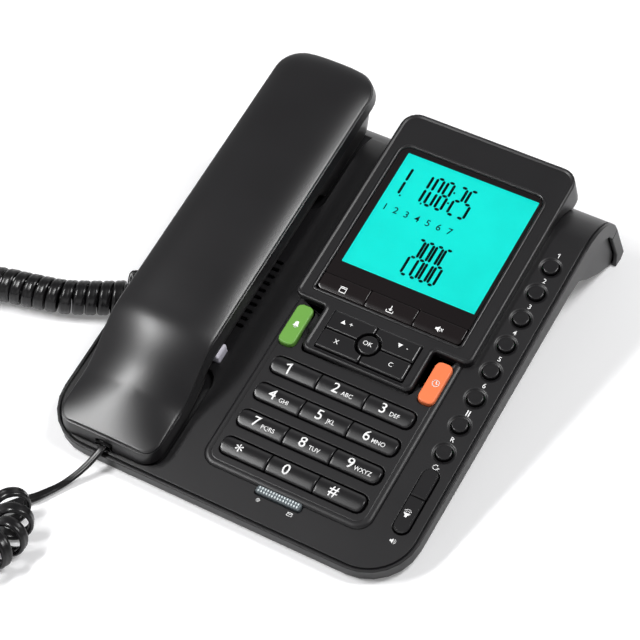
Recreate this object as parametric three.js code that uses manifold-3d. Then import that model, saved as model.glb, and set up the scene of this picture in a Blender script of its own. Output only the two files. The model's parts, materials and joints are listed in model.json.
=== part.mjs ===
// Corded desk telephone with a large display, in millimetres, +Z up, resting on the floor plane.
// Every piece is a separate closed mesh. The deck pieces stand in a tilted group: there x runs
// across the telephone (u), y runs up the slope of the deck (v) and z stands off the deck (n).
import * as THREE from 'three';
import { mergeVertices } from 'three/addons/utils/BufferGeometryUtils.js';
import Module from 'manifold-3d';

const wasm = await Module();
wasm.setup();

// Clearances, walls and the overrun of all cutting shapes
const fitGap = 0.3;
const keyGap = 0.35;
const overrun = 20;
const deckWall = 2;
const bandWall = 2;
const plateWall = 1.6;
const tubWall = 1.2;

// Base: deck, side band and rear roll
const deckTilt = 12.85;
const frontHeight = 7.2;
const deckLength = 178.8;
const rollRadius = 34;
const rollAngle = 76;
const cornerRadius = 23;
const frontReach = 0.5;
const rearCornerRadius = 3;
const bandFront = 6.7;
const bandRear = 11.1;
const bandMiddle = 14.2;
const bandSeam = 5.5;
const bandBreakShare = 0.9;
const trayLip = 0.6;

// Rear wedge of the lower housing and the stand behind it
const wedgeLead = 7.4;
const wedgeBulgeShare = 0.4;
const wedgeHeel = 1.2;
const standClear = 0.2;
const standToe = 3;
const heelHeight = 8;
const footWidth = 15;
const footLength = 9;
const footInset = 24;
const frontFootPlace = 16;

// The keys' grid
const keyPitch = 23;
const rowPitch = 14.5;
const dialFront = 22.9;
const dialDepth = 8.9;
const dialRows = 4;
const dialCorner = 3;
const dialRise = 1.9;
const plateauHeight = 1.3;
const plateauMargin = 4.4;
const plateauFront = 17.8;
const plateauCorner = 6;
const plateauBevel = 1.5;
const keyTravel = 1;
const flangeThick = 0.5;
const flangeReach = 0.8;
const edgeRound = 0.5;

// Round keys, the long oval and the two coloured keys
const roundInset = 10.5;
const roundClear = 8.1;
const roundRearInset = 13;
const roundFront = 64.1;
const roundDiameter = 7.3;
const roundRise = 1.2;
const ovalWidth = 7;
const ovalFront = 22.8;
const ovalLower = 17.6;
const ovalUpper = 14.6;
const ovalRise = 1.5;
const sideKeyOffset = 34.2;
const sideKeyWidth = 8;
const sideKeyLength = 20.9;
const sideKeyRear = 101.6;
const sideKeyRise = 1.9;
const sideKeyCorner = 2.4;

// Display fascia: a T with its tongue towards the keys
const fasciaWidth = 87;
const fasciaClear = 11.5;
const fasciaFront = 104.5;
const fasciaOverhang = 0.6;
const fasciaCorner = 8;
const fasciaFrontCorner = 3.5;
const fasciaSlopeShare = 0.005;
const fasciaFrontRise = 4;
const fasciaWall = 2.6;
const fasciaTail = 2.4;
const fasciaDrop = 16.5;
const tongueWidth = 53.4;
const tongueLength = 22.7;
const tongueCorner = 2.5;
const lipRound = 0.8;

// Window, glass panel and soft keys in the fascia
const panelShift = 0.6;
const windowMargin = 7.8;
const windowFront = 111.2;
const windowInset = 18.4;
const windowCorner = 4.5;
const windowThick = 1.2;
const windowSink = 0.7;
const windowLedge = 1.4;
const deckLedge = 2;
const softDepth = 8.4;
const softRise = 0.5;
const lcdMargin = 2;
const lcdFront = 126.6;
const lcdThick = 1.4;

// Navigation keys in the tongue
const navWidth = 42.8;
const navDepth = 19.2;
const navFront = 84.9;
const navRise = 0.9;
const navCentreDiameter = 9.6;
const navRing = 1.2;

// Indicator lens, hook plunger and speaker slots
const lensWidth = 21.4;
const lensDepth = 3.5;
const lensCentre = 15;
const lensRise = 1.6;
const plungerWidth = 5.4;
const plungerLength = 7.7;
const plungerOffset = 20.6;
const plungerCentre = 65;
const plungerRise = 3.5;
const plungerTravel = 3;
const slotCount = 10;
const slotPitch = 4;
const slotLength = 26;
const slotWidth = 1.5;
const slotOffset = 10.6;
const slotCentre = 99.5;
const speakerDiameter = 34;
const speakerThick = 3.8;

// Circuit board and rubber mat
const boardTop = -4;
const boardThick = 0.7;
const boardClear = 4;
const boardMargin = 5;
const boardFront = 23;
const boardInset = 10.8;
const matThick = 0.5;

// Handset, measured from its own centre line
const handsetInset = 7.5;
const handsetNear = 5.4;
const handsetLength = 207.8;
const creaseHalf = 24.4;
const sideFlare = 0.8;
const endFlare = 2.2;
const nearCorner = 7;
const farCorner = 13;
const mouthCrease = 8.4;
const handleCrease = 20;
const bendStart = 22;
const bendLength = 34;
const crownRise = 3.8;
const crownRun = 16;
const mouthRim = 0.9;
const handleRim = 13.5;
const shellWall = 1.8;
const shellTuck = 0.8;
const shellDraftShare = 0.18;
const shellChamfer = 1.5;
const handleBottom = 6;
const mouthBottom = -1.9;
const earBottom = -6;
const mouthCupEnd = 41;
const earCupReach = 60.8;
const cupSlope = 9;
const innerInset = 2.6;
const earRecessDepth = 6.8;
const earRecessHalf = 24.3;
const mouthRecessDepth = 2.2;
const mouthRecessHalf = 26;
const recessFront = 4.2;
const recessMargin = 1.5;
const earpieceDiameter = 32;
const earpieceThick = 5;
const earpieceInset = 36.2;
const microphoneDiameter = 10;
const microphoneThick = 4;
const microphoneCentre = 28;
const soundHole = 1.8;
const soundRing = 5;
const soundHoles = 6;

// Screws
const screwHead = 5.6;
const screwHeadThick = 1.4;
const screwShaft = 2.4;
const screwLength = 5.2;
const screwBoss = 6;
const baseScrewOffset = 33.8;
const baseScrewCentre = 136;
const handsetScrewCentre = 104;

// Jacks, plugs and the flat cord
const plugWidth = 7.7;
const plugHeight = 4.4;
const plugLength = 12;
const plugProud = 1.6;
const plugStepShare = 0.6;
const plugTopShare = 0.55;
const jackWall = 1;
const jackCentre = 88;
const lineJackOffset = 21.2;
const lineJackRise = 13;
const lineJackWidth = 10;
const lineJackHeight = 6.8;
const lineJackDepth = 12;
const cordWidth = 5;
const cordThick = 2.4;
const tailDiameter = 3.4;
const tailSides = 8;
const curlRadius = 6.8;
const curlWidth = 4.3;
const curlPitch = 5.66;
const loosePitch = 7.4;
const curlGap = 0.6;
const curlEndShare = 0.25;
const curlSteps = 8;
const curlSides = 5;

const degree = Math.PI / 180;
const tilt = deckTilt * degree;
const roll = rollAngle * degree;

// The base is as wide as the handset, the display and the round keys beside each other need
const handsetWidth = 2 * (creaseHalf + sideFlare);
const baseWidth = handsetInset + handsetWidth + fasciaClear + fasciaWidth + roundClear + roundInset;
const halfWidth = baseWidth / 2;
const handsetCentre = handsetInset + handsetWidth / 2 - halfWidth;
const fasciaCentre = handsetCentre + (handsetWidth + fasciaWidth) / 2 + fasciaClear;
const panelCentre = fasciaCentre - panelShift;
const roundPlace = halfWidth - roundInset;
const roundCount = 1 + Math.floor((deckLength - roundRearInset - roundFront) / rowPitch);
const fasciaRear = deckLength + rollRadius + fasciaOverhang;
const windowWidth = fasciaWidth - 2 * windowMargin;
const windowRear = fasciaRear - windowInset;
const lcdRear = windowRear - lcdMargin;
const lcdWidth = windowWidth - 2 * lcdMargin;
const earCupStart = handsetLength - earCupReach;
const earpieceCentre = handsetNear + handsetLength - earpieceInset;
const plungerPlace = handsetCentre + plungerOffset;
const slotPlace = handsetCentre + slotOffset;
const baseScrewPlace = handsetCentre + baseScrewOffset;
const lineJackPlace = panelCentre + lineJackOffset;
const boardLeft = baseScrewPlace + screwBoss / 2 + boardClear;
const boardRight = roundPlace + boardMargin;
const boardRear = deckLength - boardInset;

// Finishes: colour, roughness and metalness of each piece
function finish(color, roughness, metalness = 0) {
  return new THREE.MeshStandardMaterial({ color, roughness, metalness });
}
const blackShell = finish(0x1c1c1e, 0.42);
const blackKeys = finish(0x242426, 0.36);
const blackGloss = finish(0x17120f, 0.12);
const greenKeyFinish = finish(0x69b446, 0.35);
const orangeKeyFinish = finish(0xff7a3c, 0.35);
const glassFinish = finish(0x14ede0, 0.2);
const clearFinish = finish(0xdfe6e8, 0.08);
const whiteFinish = finish(0xf2f2f2, 0.4);
const boardFinish = finish(0x1f5a34, 0.5);
const rubberFinish = finish(0x2a2a2a, 0.85);
const steelFinish = finish(0xb4b6ba, 0.3, 1);
const capsuleFinish = finish(0x3a3c40, 0.5);
const cordFinish = finish(0x161617, 0.34);

// Triangles of an end cap, wound like its ring. The axes name the two coordinates in which the
// ring is seen without overlaps; without axes the ring is a convex one.
function capFaces(ring, axes) {
  if (!axes) {
    return ring.slice(2).map((_, i) => [0, i + 1, i + 2]);
  }
  const flat = ring.map((point) => new THREE.Vector2(point[axes[0]], point[axes[1]]));
  const winding = Math.sign(THREE.ShapeUtils.area(flat));
  const area = (a, b, c) => (b.x - a.x) * (c.y - a.y) - (b.y - a.y) * (c.x - a.x);
  return THREE.ShapeUtils.triangulateShape(flat, []).map(([i, j, k]) => (
    Math.sign(area(flat[i], flat[j], flat[k])) === winding ? [i, j, k] : [i, k, j]
  ));
}

// Closed solid through rings with equal point counts, with caps on the first and last ring
function loft(rings, axes) {
  const count = rings[0].length;
  const positions = rings.flat().flatMap((point) => [point.x, point.y, point.z]);
  const index = [];
  for (let ring = 0; ring < rings.length - 1; ring += 1) {
    for (let i = 0; i < count; i += 1) {
      const a = ring * count + i;
      const b = ring * count + ((i + 1) % count);
      index.push(a, b, b + count, a, b + count, a + count);
    }
  }
  for (const end of [0, rings.length - 1]) {
    for (const [i, j, k] of capFaces(rings[end], axes)) {
      const corners = end !== 0 ? [i, j, k] : [i, k, j];
      index.push(...corners.map((corner) => corner + end * count));
    }
  }
  const geometry = new THREE.BufferGeometry();
  geometry.setAttribute('position', new THREE.Float32BufferAttribute(positions, 3));
  geometry.setIndex(volume(positions, index) < 0 ? flipped(index) : index);
  return geometry;
}

function volume(positions, index) {
  const at = (i) => new THREE.Vector3().fromArray(positions, i * 3);
  let total = 0;
  for (let i = 0; i < index.length; i += 3) {
    total += at(index[i]).dot(at(index[i + 1]).cross(at(index[i + 2])));
  }
  return total;
}

function flipped(index) {
  const result = [];
  for (let i = 0; i < index.length; i += 3) {
    result.push(index[i], index[i + 2], index[i + 1]);
  }
  return result;
}

// A geometry as a solid for joins and cuts, and a solid as a geometry again
function solid(geometry) {
  const bare = geometry.clone();
  bare.deleteAttribute('normal');
  bare.deleteAttribute('uv');
  const merged = mergeVertices(bare, 1e-4);
  return new wasm.Manifold(new wasm.Mesh({
    numProp: 3,
    vertProperties: new Float32Array(merged.attributes.position.array),
    triVerts: new Uint32Array(merged.index.array),
  }));
}

function surface(body) {
  const mesh = body.getMesh();
  const geometry = new THREE.BufferGeometry();
  geometry.setAttribute('position', new THREE.Float32BufferAttribute(mesh.vertProperties, 3));
  geometry.setIndex(Array.from(mesh.triVerts));
  return geometry;
}

// Outline from corners { u, v, r, steps }: each corner is rounded by r in that many steps
function outline(corners) {
  const points = [];
  corners.forEach((corner, i) => {
    const here = new THREE.Vector2(corner.u, corner.v);
    if (!corner.r) {
      points.push(here);
      return;
    }
    const before = corners[(i + corners.length - 1) % corners.length];
    const after = corners[(i + 1) % corners.length];
    const back = new THREE.Vector2(before.u, before.v).sub(here).normalize();
    const forth = new THREE.Vector2(after.u, after.v).sub(here).normalize();
    const half = Math.acos(THREE.MathUtils.clamp(back.dot(forth), -1, 1)) / 2;
    const middle = back.clone().add(forth).normalize().multiplyScalar(corner.r / Math.sin(half));
    const centre = here.clone().add(middle);
    const start = here.clone().addScaledVector(back, corner.r / Math.tan(half)).sub(centre);
    const end = here.clone().addScaledVector(forth, corner.r / Math.tan(half)).sub(centre);
    const sweep = Math.atan2(start.cross(end), start.dot(end));
    for (let step = 0; step <= corner.steps; step += 1) {
      const turned = start.clone().rotateAround(new THREE.Vector2(), sweep * step / corner.steps);
      points.push(turned.add(centre));
    }
  });
  return points;
}

// Rectangle with rounded corners; radii run front left, front right, rear right, rear left
function rectangle(left, right, front, rear, radii, steps = 3) {
  const radius = (i) => (Array.isArray(radii) ? radii[i] : radii);
  const places = [[left, front], [right, front], [right, rear], [left, rear]];
  return outline(places.map(([u, v], i) => ({ u, v, r: radius(i), steps })));
}

function circle(u, v, diameter, sides) {
  return Array.from({ length: sides }, (_, i) => {
    const angle = (i + 0.5) * 2 * Math.PI / sides;
    return new THREE.Vector2(u + Math.cos(angle) * diameter / 2, v + Math.sin(angle) * diameter / 2);
  });
}

// Layers of one outline each, stacked off the deck: [outline, height or height(point)]
function stack(...layers) {
  return loft(layers.map(([points, height]) => points.map((point) => (
    new THREE.Vector3(point.x, point.y, typeof height === 'function' ? height(point) : height)
  ))), ['x', 'y']);
}

// Side view of (v, n) points, pulled across from left to right
function across(profile, left, right) {
  const ring = (u) => profile.map((point) => new THREE.Vector3(u, point.x, point.y));
  return loft([ring(left), ring(right)], ['y', 'z']);
}

const at = (v, n) => new THREE.Vector2(v, n);

// A place in the side view on the floor, y from the front edge and z above the floor, as (v, n)
function fromFloor(y, z) {
  const rise = z - frontHeight;
  return at(y * Math.cos(tilt) + rise * Math.sin(tilt), rise * Math.cos(tilt) - y * Math.sin(tilt));
}

function onRoll(radius, angle) {
  return at(deckLength + radius * Math.sin(angle), radius * Math.cos(angle) - rollRadius);
}

function rollArc(radius, from, to, steps) {
  return Array.from({ length: steps + 1 }, (_, i) => onRoll(radius, from + (to - from) * i / steps));
}

// Lower edge of the side band and the height of the deck surface, along the slope
function bandLower(v) {
  const share = Math.min(v / (deckLength * bandBreakShare), 1);
  return -THREE.MathUtils.lerp(bandFront, bandRear, share);
}

function deckHeight(v) {
  const reach = THREE.MathUtils.clamp(v - deckLength, 0, rollRadius);
  return Math.sqrt(rollRadius ** 2 - reach ** 2) - rollRadius;
}

const rollSteps = 7;
const legDirection = at(Math.cos(roll), -Math.sin(roll));

// A point on the leg line: so far in from the outer face, at a height above the floor
function onLeg(inset, height) {
  const start = onRoll(rollRadius - inset, roll);
  const startHeight = frontHeight + start.x * Math.sin(tilt) + start.y * Math.cos(tilt);
  const fall = Math.sin(roll) * Math.cos(tilt) - Math.cos(roll) * Math.sin(tilt);
  return start.clone().addScaledVector(legDirection, (startHeight - height) / fall);
}

const deck = new THREE.Group();
deck.rotation.x = tilt;
deck.position.z = frontHeight;
const handset = new THREE.Group();
handset.position.x = handsetCentre;
deck.add(handset);
const floor = new THREE.Group();

function piece(group, name, shape, material) {
  const geometry = shape.isBufferGeometry ? shape : surface(shape);
  const mesh = new THREE.Mesh(geometry, material);
  mesh.name = name;
  group.add(mesh);
}

// Plan outline of the base, so far in from its edge
function basePlan(inset) {
  const rear = onLeg(0, 0).x + overrun;
  const corners = [cornerRadius - inset, cornerRadius - inset, rearCornerRadius, rearCornerRadius];
  return rectangle(-halfWidth + inset, halfWidth - inset, inset - frontReach, rear, corners, 6);
}

// Height of the fascia's top surface off the deck, along the slope
function fasciaTop(v) {
  return fasciaFrontRise + fasciaSlopeShare * (v - fasciaFront + tongueLength);
}

// The T of the fascia, so far in from its edge
function fasciaPlan(inset, lean = 0) {
  const side = fasciaWidth / 2 - inset;
  const tongue = tongueWidth / 2 - inset;
  const front = fasciaFront + inset;
  const tip = fasciaFront - tongueLength + inset;
  const rear = fasciaRear + lean - inset;
  const corner = (u, v, r) => ({ u, v, r, steps: 3 });
  return outline([
    corner(fasciaCentre - side, front, fasciaFrontCorner - inset),
    corner(panelCentre - tongue, front, tongueCorner / 2 + inset),
    corner(panelCentre - tongue, tip, tongueCorner - inset / 2),
    corner(panelCentre + tongue, tip, tongueCorner - inset / 2),
    corner(panelCentre + tongue, front, tongueCorner / 2 + inset),
    corner(fasciaCentre + side, front, fasciaFrontCorner - inset),
    corner(fasciaCentre + side, rear, fasciaCorner - inset),
    corner(fasciaCentre - side, rear, fasciaCorner - inset),
  ]);
}

// Outlines of the keys, grown by a margin
const dialLeft = panelCentre - 1.5 * keyPitch;
const dialRight = panelCentre + 1.5 * keyPitch;
const rowFront = (row) => dialFront + row * rowPitch;

function rowPlan(row, margin) {
  const corner = dialCorner + margin;
  const front = rowFront(row) - margin;
  return rectangle(
    dialLeft - margin, dialRight + margin, front, front + dialDepth + 2 * margin, corner,
  );
}

function dialPlan(row, column, margin) {
  const left = dialLeft + column * keyPitch + fitGap / 2 - margin;
  const right = dialLeft + (column + 1) * keyPitch - fitGap / 2 + margin;
  const outer = dialCorner + margin;
  const inner = edgeRound;
  const radii = [
    [outer, inner, inner, outer],
    [inner, inner, inner, inner],
    [inner, outer, outer, inner],
  ][column];
  const front = rowFront(row) - margin;
  return rectangle(left, right, front, front + dialDepth + 2 * margin, radii, 2);
}

function sideKeyPlan(side, margin) {
  const centre = panelCentre + side * sideKeyOffset;
  const front = sideKeyRear - sideKeyLength;
  const half = sideKeyWidth / 2 + margin;
  const corner = sideKeyCorner + margin;
  return rectangle(
    centre - half, centre + half, front - margin, front + sideKeyLength + margin, corner, 2,
  );
}

const roundCentre = (i) => roundFront + i * rowPitch;
const ovalSplit = ovalFront + ovalLower;

function ovalPlan(margin) {
  const half = ovalWidth / 2 + margin;
  const rear = ovalSplit + ovalUpper + margin;
  return rectangle(roundPlace - half, roundPlace + half, ovalFront - margin, rear, half * 0.98, 5);
}

function ovalHalfPlan(upper, margin) {
  const half = ovalWidth / 2 + margin;
  const front = upper ? ovalSplit + fitGap / 2 - margin : ovalFront - margin;
  const rear = upper ? ovalSplit + ovalUpper + margin : ovalSplit - fitGap / 2 + margin;
  const end = half * 0.98;
  const radii = upper ? [edgeRound, edgeRound, end, end] : [end, end, edgeRound, edgeRound];
  return rectangle(roundPlace - half, roundPlace + half, front, rear, radii, 4);
}

const navMiddle = navFront + navDepth / 2;
const softFront = windowFront + keyGap;
const softRear = softFront + softDepth;

// Slots of the speaker grille: narrow bars across the telephone
function slotPlan(i) {
  const v = slotCentre + (i - (slotCount - 1) / 2) * slotPitch;
  const [half, reach] = [slotLength / 2, slotWidth / 2];
  return rectangle(slotPlace - half, slotPlace + half, v - reach, v + reach, slotWidth * 0.45, 2);
}

function plungerPlan(margin) {
  const half = plungerWidth / 2 + margin;
  const run = plungerLength / 2 + margin;
  const centre = plungerCentre;
  return rectangle(plungerPlace - half, plungerPlace + half, centre - run, centre + run, edgeRound, 1);
}

// Recesses of the cradle for the ear cup and the mouth cup, with a margin for their tubs
function earRecess(margin) {
  const half = earRecessHalf + margin;
  const front = handsetNear + earCupStart - cupSlope / 2 - margin;
  const rear = onLeg(0, 0).x + overrun;
  const corner = plateauCorner + margin;
  return rectangle(handsetCentre - half, handsetCentre + half, front, rear, corner);
}

function mouthRecess(margin) {
  const half = mouthRecessHalf + margin;
  const rear = handsetNear + mouthCupEnd + cupSlope + recessMargin + margin;
  const corner = nearCorner + margin;
  return rectangle(handsetCentre - half, handsetCentre + half, recessFront - margin, rear, corner);
}

const jackTop = -deckWall - fitGap;
const jackMiddle = jackTop - jackWall - plugHeight / 2;
const baseScrewLow = bandLower(baseScrewCentre) + plateWall - screwHeadThick - fitGap;

function upperHousing() {
  const innerArc = Array.from({ length: rollSteps }, (_, i) => {
    const share = 1 - i / (rollSteps - 1);
    const thick = THREE.MathUtils.lerp(bandMiddle, bandSeam, THREE.MathUtils.smoothstep(share, 0, 1));
    return onRoll(rollRadius - thick, roll * share);
  });
  const bandBreak = deckLength * bandBreakShare;
  const outside = [
    at(-frontReach, bandLower(-frontReach)), at(-frontReach, 0),
    ...rollArc(rollRadius, 0, roll, rollSteps),
    ...innerArc, at(bandBreak, -bandRear),
  ];
  const below = -2 * (rollRadius + overrun);
  const inside = [
    at(bandWall - frontReach, below), at(bandWall - frontReach, -deckWall),
    ...rollArc(rollRadius - deckWall, 0, roll, rollSteps), onLeg(deckWall, 0),
    at(onLeg(deckWall, 0).x, below),
  ];
  const plan = (inset, low) => solid(stack([basePlan(inset), low], [basePlan(inset), overrun]));
  const whole = solid(across(outside, -halfWidth, halfWidth)).intersect(plan(0, below * 2));
  const hollow = solid(across(inside, -halfWidth + bandWall, halfWidth - bandWall))
    .intersect(plan(bandWall, below * 2));
  let body = whole.subtract(hollow);

  // Raised plateau round the keys, hollow below
  const margin = plateauMargin;
  const plateau = (inset) => rectangle(
    dialLeft - margin + inset, dialRight + margin - inset, plateauFront + inset, fasciaFront,
    [plateauCorner - inset, plateauCorner - inset, edgeRound, edgeRound],
  );
  body = body.add(solid(stack(
    [plateau(0), -deckWall / 2], [plateau(0), 0], [plateau(plateauBevel), plateauHeight],
  )));
  const roof = plateauHeight - deckWall;
  const room = plateau(plateauBevel + deckWall);
  body = body.subtract(solid(stack([room, -overrun], [room, roof])));

  // Tubs of the cradle recesses
  for (const [recess, depth] of [[earRecess, earRecessDepth], [mouthRecess, mouthRecessDepth]]) {
    const tub = solid(stack([recess(tubWall), -depth - tubWall], [recess(tubWall), -deckWall / 2]));
    body = body.add(tub.intersect(whole));
    body = body.subtract(solid(stack([recess(0), -depth], [recess(0), overrun])));
  }

  // Boss for the screw from below
  const boss = circle(baseScrewPlace, baseScrewCentre, screwBoss, 8);
  const core = circle(baseScrewPlace, baseScrewCentre, screwShaft + 2 * fitGap, 8);
  const bossLow = bandLower(baseScrewCentre) + plateWall * 2 + fitGap;
  const coreTop = baseScrewLow + screwHeadThick + screwLength + fitGap;
  body = body.add(solid(stack([boss, bossLow], [boss, -deckWall / 2])));
  body = body.subtract(solid(stack([core, bossLow - overrun], [core, coreTop])));

  // Openings for the keys, the display, the lens, the plunger, the grille and the side jack
  const through = (points) => solid(stack([points, -overrun], [points, overrun]));
  const fascia = fasciaPlan(-fitGap);
  body = body.subtract(solid(stack([fascia, 0], [fascia, overrun])));
  for (let row = 0; row < dialRows; row += 1) {
    body = body.subtract(through(rowPlan(row, keyGap)));
  }
  for (let i = 0; i < roundCount; i += 1) {
    body = body.subtract(through(circle(roundPlace, roundCentre(i), roundDiameter + 2 * keyGap, 12)));
  }
  body = body.subtract(through(ovalPlan(keyGap)));
  for (const side of [-1, 1]) {
    body = body.subtract(through(sideKeyPlan(side, keyGap)));
  }
  const navHalf = navWidth / 2 - deckLedge;
  const navOpening = rectangle(
    panelCentre - navHalf, panelCentre + navHalf, navFront + deckLedge, navFront + navDepth,
    edgeRound, 1,
  );
  const softHalf = windowWidth / 2 - deckLedge;
  const softOpening = rectangle(
    panelCentre - softHalf, panelCentre + softHalf, softFront + deckLedge, softRear, edgeRound, 1,
  );
  body = body.subtract(through(navOpening)).subtract(through(softOpening));
  body = body.subtract(through(lensPlan(keyGap))).subtract(through(plungerPlan(keyGap)));
  for (let i = 0; i < slotCount; i += 1) {
    body = body.subtract(through(slotPlan(i)));
  }
  const socket = [
    at(jackCentre - plugWidth / 2 - jackWall - fitGap, jackTop + fitGap),
    at(jackCentre + plugWidth / 2 + jackWall + fitGap, jackTop + fitGap),
    at(jackCentre + plugWidth / 2 + jackWall + fitGap, -overrun),
    at(jackCentre - plugWidth / 2 - jackWall - fitGap, -overrun),
  ];
  body = body.subtract(solid(across(socket, -halfWidth - overrun, -halfWidth + bandWall * 2)));
  piece(deck, 'upper_housing', body, blackShell);
}

const floorY = (point) => point.x * Math.cos(tilt) - point.y * Math.sin(tilt);

// Rear corner of the wedge, beside the stand's heel, so far in from its faces
function wedgeFoot(inset) {
  return fromFloor(floorY(onLeg(bandSeam + fitGap + inset, heelHeight)), wedgeHeel + inset * 2);
}

// Underside of the wedge, bulging from the band down to the heel, so far in from its face
function wedgeCurve(inset) {
  const v = deckLength - wedgeLead;
  const breakAt = deckLength * bandBreakShare;
  const drop = THREE.MathUtils.mapLinear(v, breakAt, deckLength, bandRear, bandMiddle);
  const top = at(v, -drop).addScalar(inset);
  const run = wedgeFoot(inset).sub(top);
  return [0, 0.2, 0.43, 0.72, 1].map((fallShare) => {
    const runShare = fallShare - wedgeBulgeShare * fallShare * (1 - fallShare);
    return at(top.x + run.x * runShare, top.y + run.y * fallShare);
  });
}

function lowerHousing() {
  const sideInset = bandWall + fitGap;
  const front = sideInset - frontReach;
  const radius = rollRadius - bandSeam - fitGap;
  const topLine = -bandRear + plateWall + trayLip;
  const from = Math.acos((rollRadius + topLine) / radius);
  const profile = (inset) => [
    at(front + inset, bandLower(front) + inset),
    at(front + inset, inset ? overrun : bandLower(front) + plateWall + trayLip),
    at(deckLength * bandBreakShare, inset ? overrun : topLine),
    ...(inset ? [at(onRoll(radius - inset, roll).x, overrun)] : rollArc(radius, from, roll, 4)),
    onLeg(bandSeam + fitGap + inset, heelHeight),
    ...wedgeCurve(inset).reverse(),
    at(deckLength * bandBreakShare, -bandRear + inset),
  ];
  const below = -2 * (rollRadius + overrun);
  const body = (inset) => {
    const plan = basePlan(sideInset + inset);
    const side = halfWidth - sideInset - inset;
    return solid(across(profile(inset), -side, side))
      .intersect(solid(stack([plan, below * 2], [plan, overrun * 2])));
  };
  let tray = body(0).subtract(body(plateWall));

  // Seat of the screw and its hole
  const plate = bandLower(baseScrewCentre);
  const seat = circle(baseScrewPlace, baseScrewCentre, screwHead + 2 * fitGap + plateWall * 2, 8);
  const bore = circle(baseScrewPlace, baseScrewCentre, screwHead + 2 * fitGap, 8);
  const hole = circle(baseScrewPlace, baseScrewCentre, screwShaft + 2 * fitGap, 8);
  tray = tray.add(solid(stack([seat, plate + plateWall / 2], [seat, plate + 2 * plateWall])));
  tray = tray.subtract(solid(stack([bore, -overrun], [bore, plate + plateWall])));
  tray = tray.subtract(solid(stack([hole, -overrun], [hole, overrun])));

  // Opening for the line jack at the rear, and clearance round the side jack
  tray = tray.subtract(lineJackBlock(fitGap, overrun));
  const jackRun = plugWidth / 2 + jackWall + fitGap;
  const jackEnd = -halfWidth + bandWall / 4 + plugLength + jackWall + fitGap;
  const notch = rectangle(-halfWidth, jackEnd, jackCentre - jackRun, jackCentre + jackRun, 0);
  tray = tray.subtract(solid(stack([notch, -overrun], [notch, overrun])));
  piece(deck, 'lower_housing', tray, blackShell);
}

function rearStand() {
  const seam = (inset) => onRoll(rollRadius - inset, roll).addScaledVector(legDirection, fitGap);
  const heelFront = floorY(onLeg(bandSeam, heelHeight));
  const toe = floorY(onLeg(0, standToe)) - standToe;
  const profile = (wall, reach) => [
    seam(wall), onLeg(wall, standToe), fromFloor(toe, standClear + wall),
    fromFloor(heelFront - reach, standClear + wall), fromFloor(heelFront - reach, heelHeight),
    seam(bandSeam + reach),
  ];
  const side = halfWidth - deckWall;
  let stand = solid(across(profile(0, 0), -halfWidth, halfWidth));
  stand = stand.subtract(solid(across(profile(deckWall, overrun), -side, side)));
  stand = stand.subtract(lineJackBlock(fitGap, overrun));
  piece(deck, 'rear_stand', stand, blackShell);
}

// The line jack's block lies level, facing the rear, and is cut out of what it passes through
function lineJackBlock(margin, reach) {
  const wall = onLeg(0, lineJackRise);
  const rearY = wall.x * Math.cos(tilt) - wall.y * Math.sin(tilt) + reach;
  const frontY = rearY - reach - lineJackDepth - jackWall - margin;
  const half = lineJackWidth / 2 + jackWall + margin;
  const low = lineJackRise - lineJackHeight / 2 - jackWall - margin;
  const high = lineJackRise + lineJackHeight / 2 + jackWall + margin;
  const corners = [[frontY, low], [rearY, low], [rearY, high], [frontY, high]];
  const ring = corners.map(([y, z]) => fromFloor(y, z));
  return solid(across(ring, lineJackPlace - half, lineJackPlace + half));
}

function lineJack() {
  const body = lineJackBlock(0, -bandSeam / 2);
  const wall = onLeg(0, lineJackRise);
  const rearY = wall.x * Math.cos(tilt) - wall.y * Math.sin(tilt) + overrun;
  const frontY = rearY - overrun - lineJackDepth;
  const low = lineJackRise - lineJackHeight / 2;
  const high = low + lineJackHeight;
  const corners = [[frontY, low], [rearY, low], [rearY, high], [frontY, high]];
  const half = lineJackWidth / 2;
  const ring = corners.map(([y, z]) => fromFloor(y, z));
  const bore = across(ring, lineJackPlace - half, lineJackPlace + half);
  piece(deck, 'line_jack', body.subtract(solid(bore)), blackKeys);
}

// Rubber feet: level below, following the slope of the bottom above
function foot(name, u, front, bottom) {
  const low = (y) => fromFloor(y, 0);
  const rear = front + footLength;
  const profile = [low(front), low(rear), bottom(rear), bottom(front)];
  piece(deck, name, across(profile, u - footWidth / 2, u + footWidth / 2), rubberFinish);
}

function feet() {
  const side = halfWidth - footInset;
  const plateSlope = (bandRear - bandFront) / (deckLength * bandBreakShare);
  const underPlate = (y) => {
    const v = (y + bandFront * Math.sin(tilt)) / Math.cos(tilt) / (1 + plateSlope * Math.tan(tilt));
    return at(v, bandLower(v) - fitGap);
  };
  const heel = floorY(wedgeFoot(0));
  const [above, corner] = wedgeCurve(0).slice(-2);
  const slope = (above.y - corner.y) / (above.x - corner.x);
  const underWedge = (y) => {
    const level = fromFloor(y, wedgeHeel);
    const v = corner.x + (level.x - corner.x) / (1 + slope * Math.tan(tilt));
    return at(v, corner.y + (v - corner.x) * slope - fitGap * 2);
  };
  foot('foot_front_left', -side, frontFootPlace, underPlate);
  foot('foot_front_right', side, frontFootPlace, underPlate);
  foot('foot_rear_left', -side, heel - footLength - wedgeHeel, underWedge);
  foot('foot_rear_right', side, heel - footLength - wedgeHeel, underWedge);
}

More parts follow.
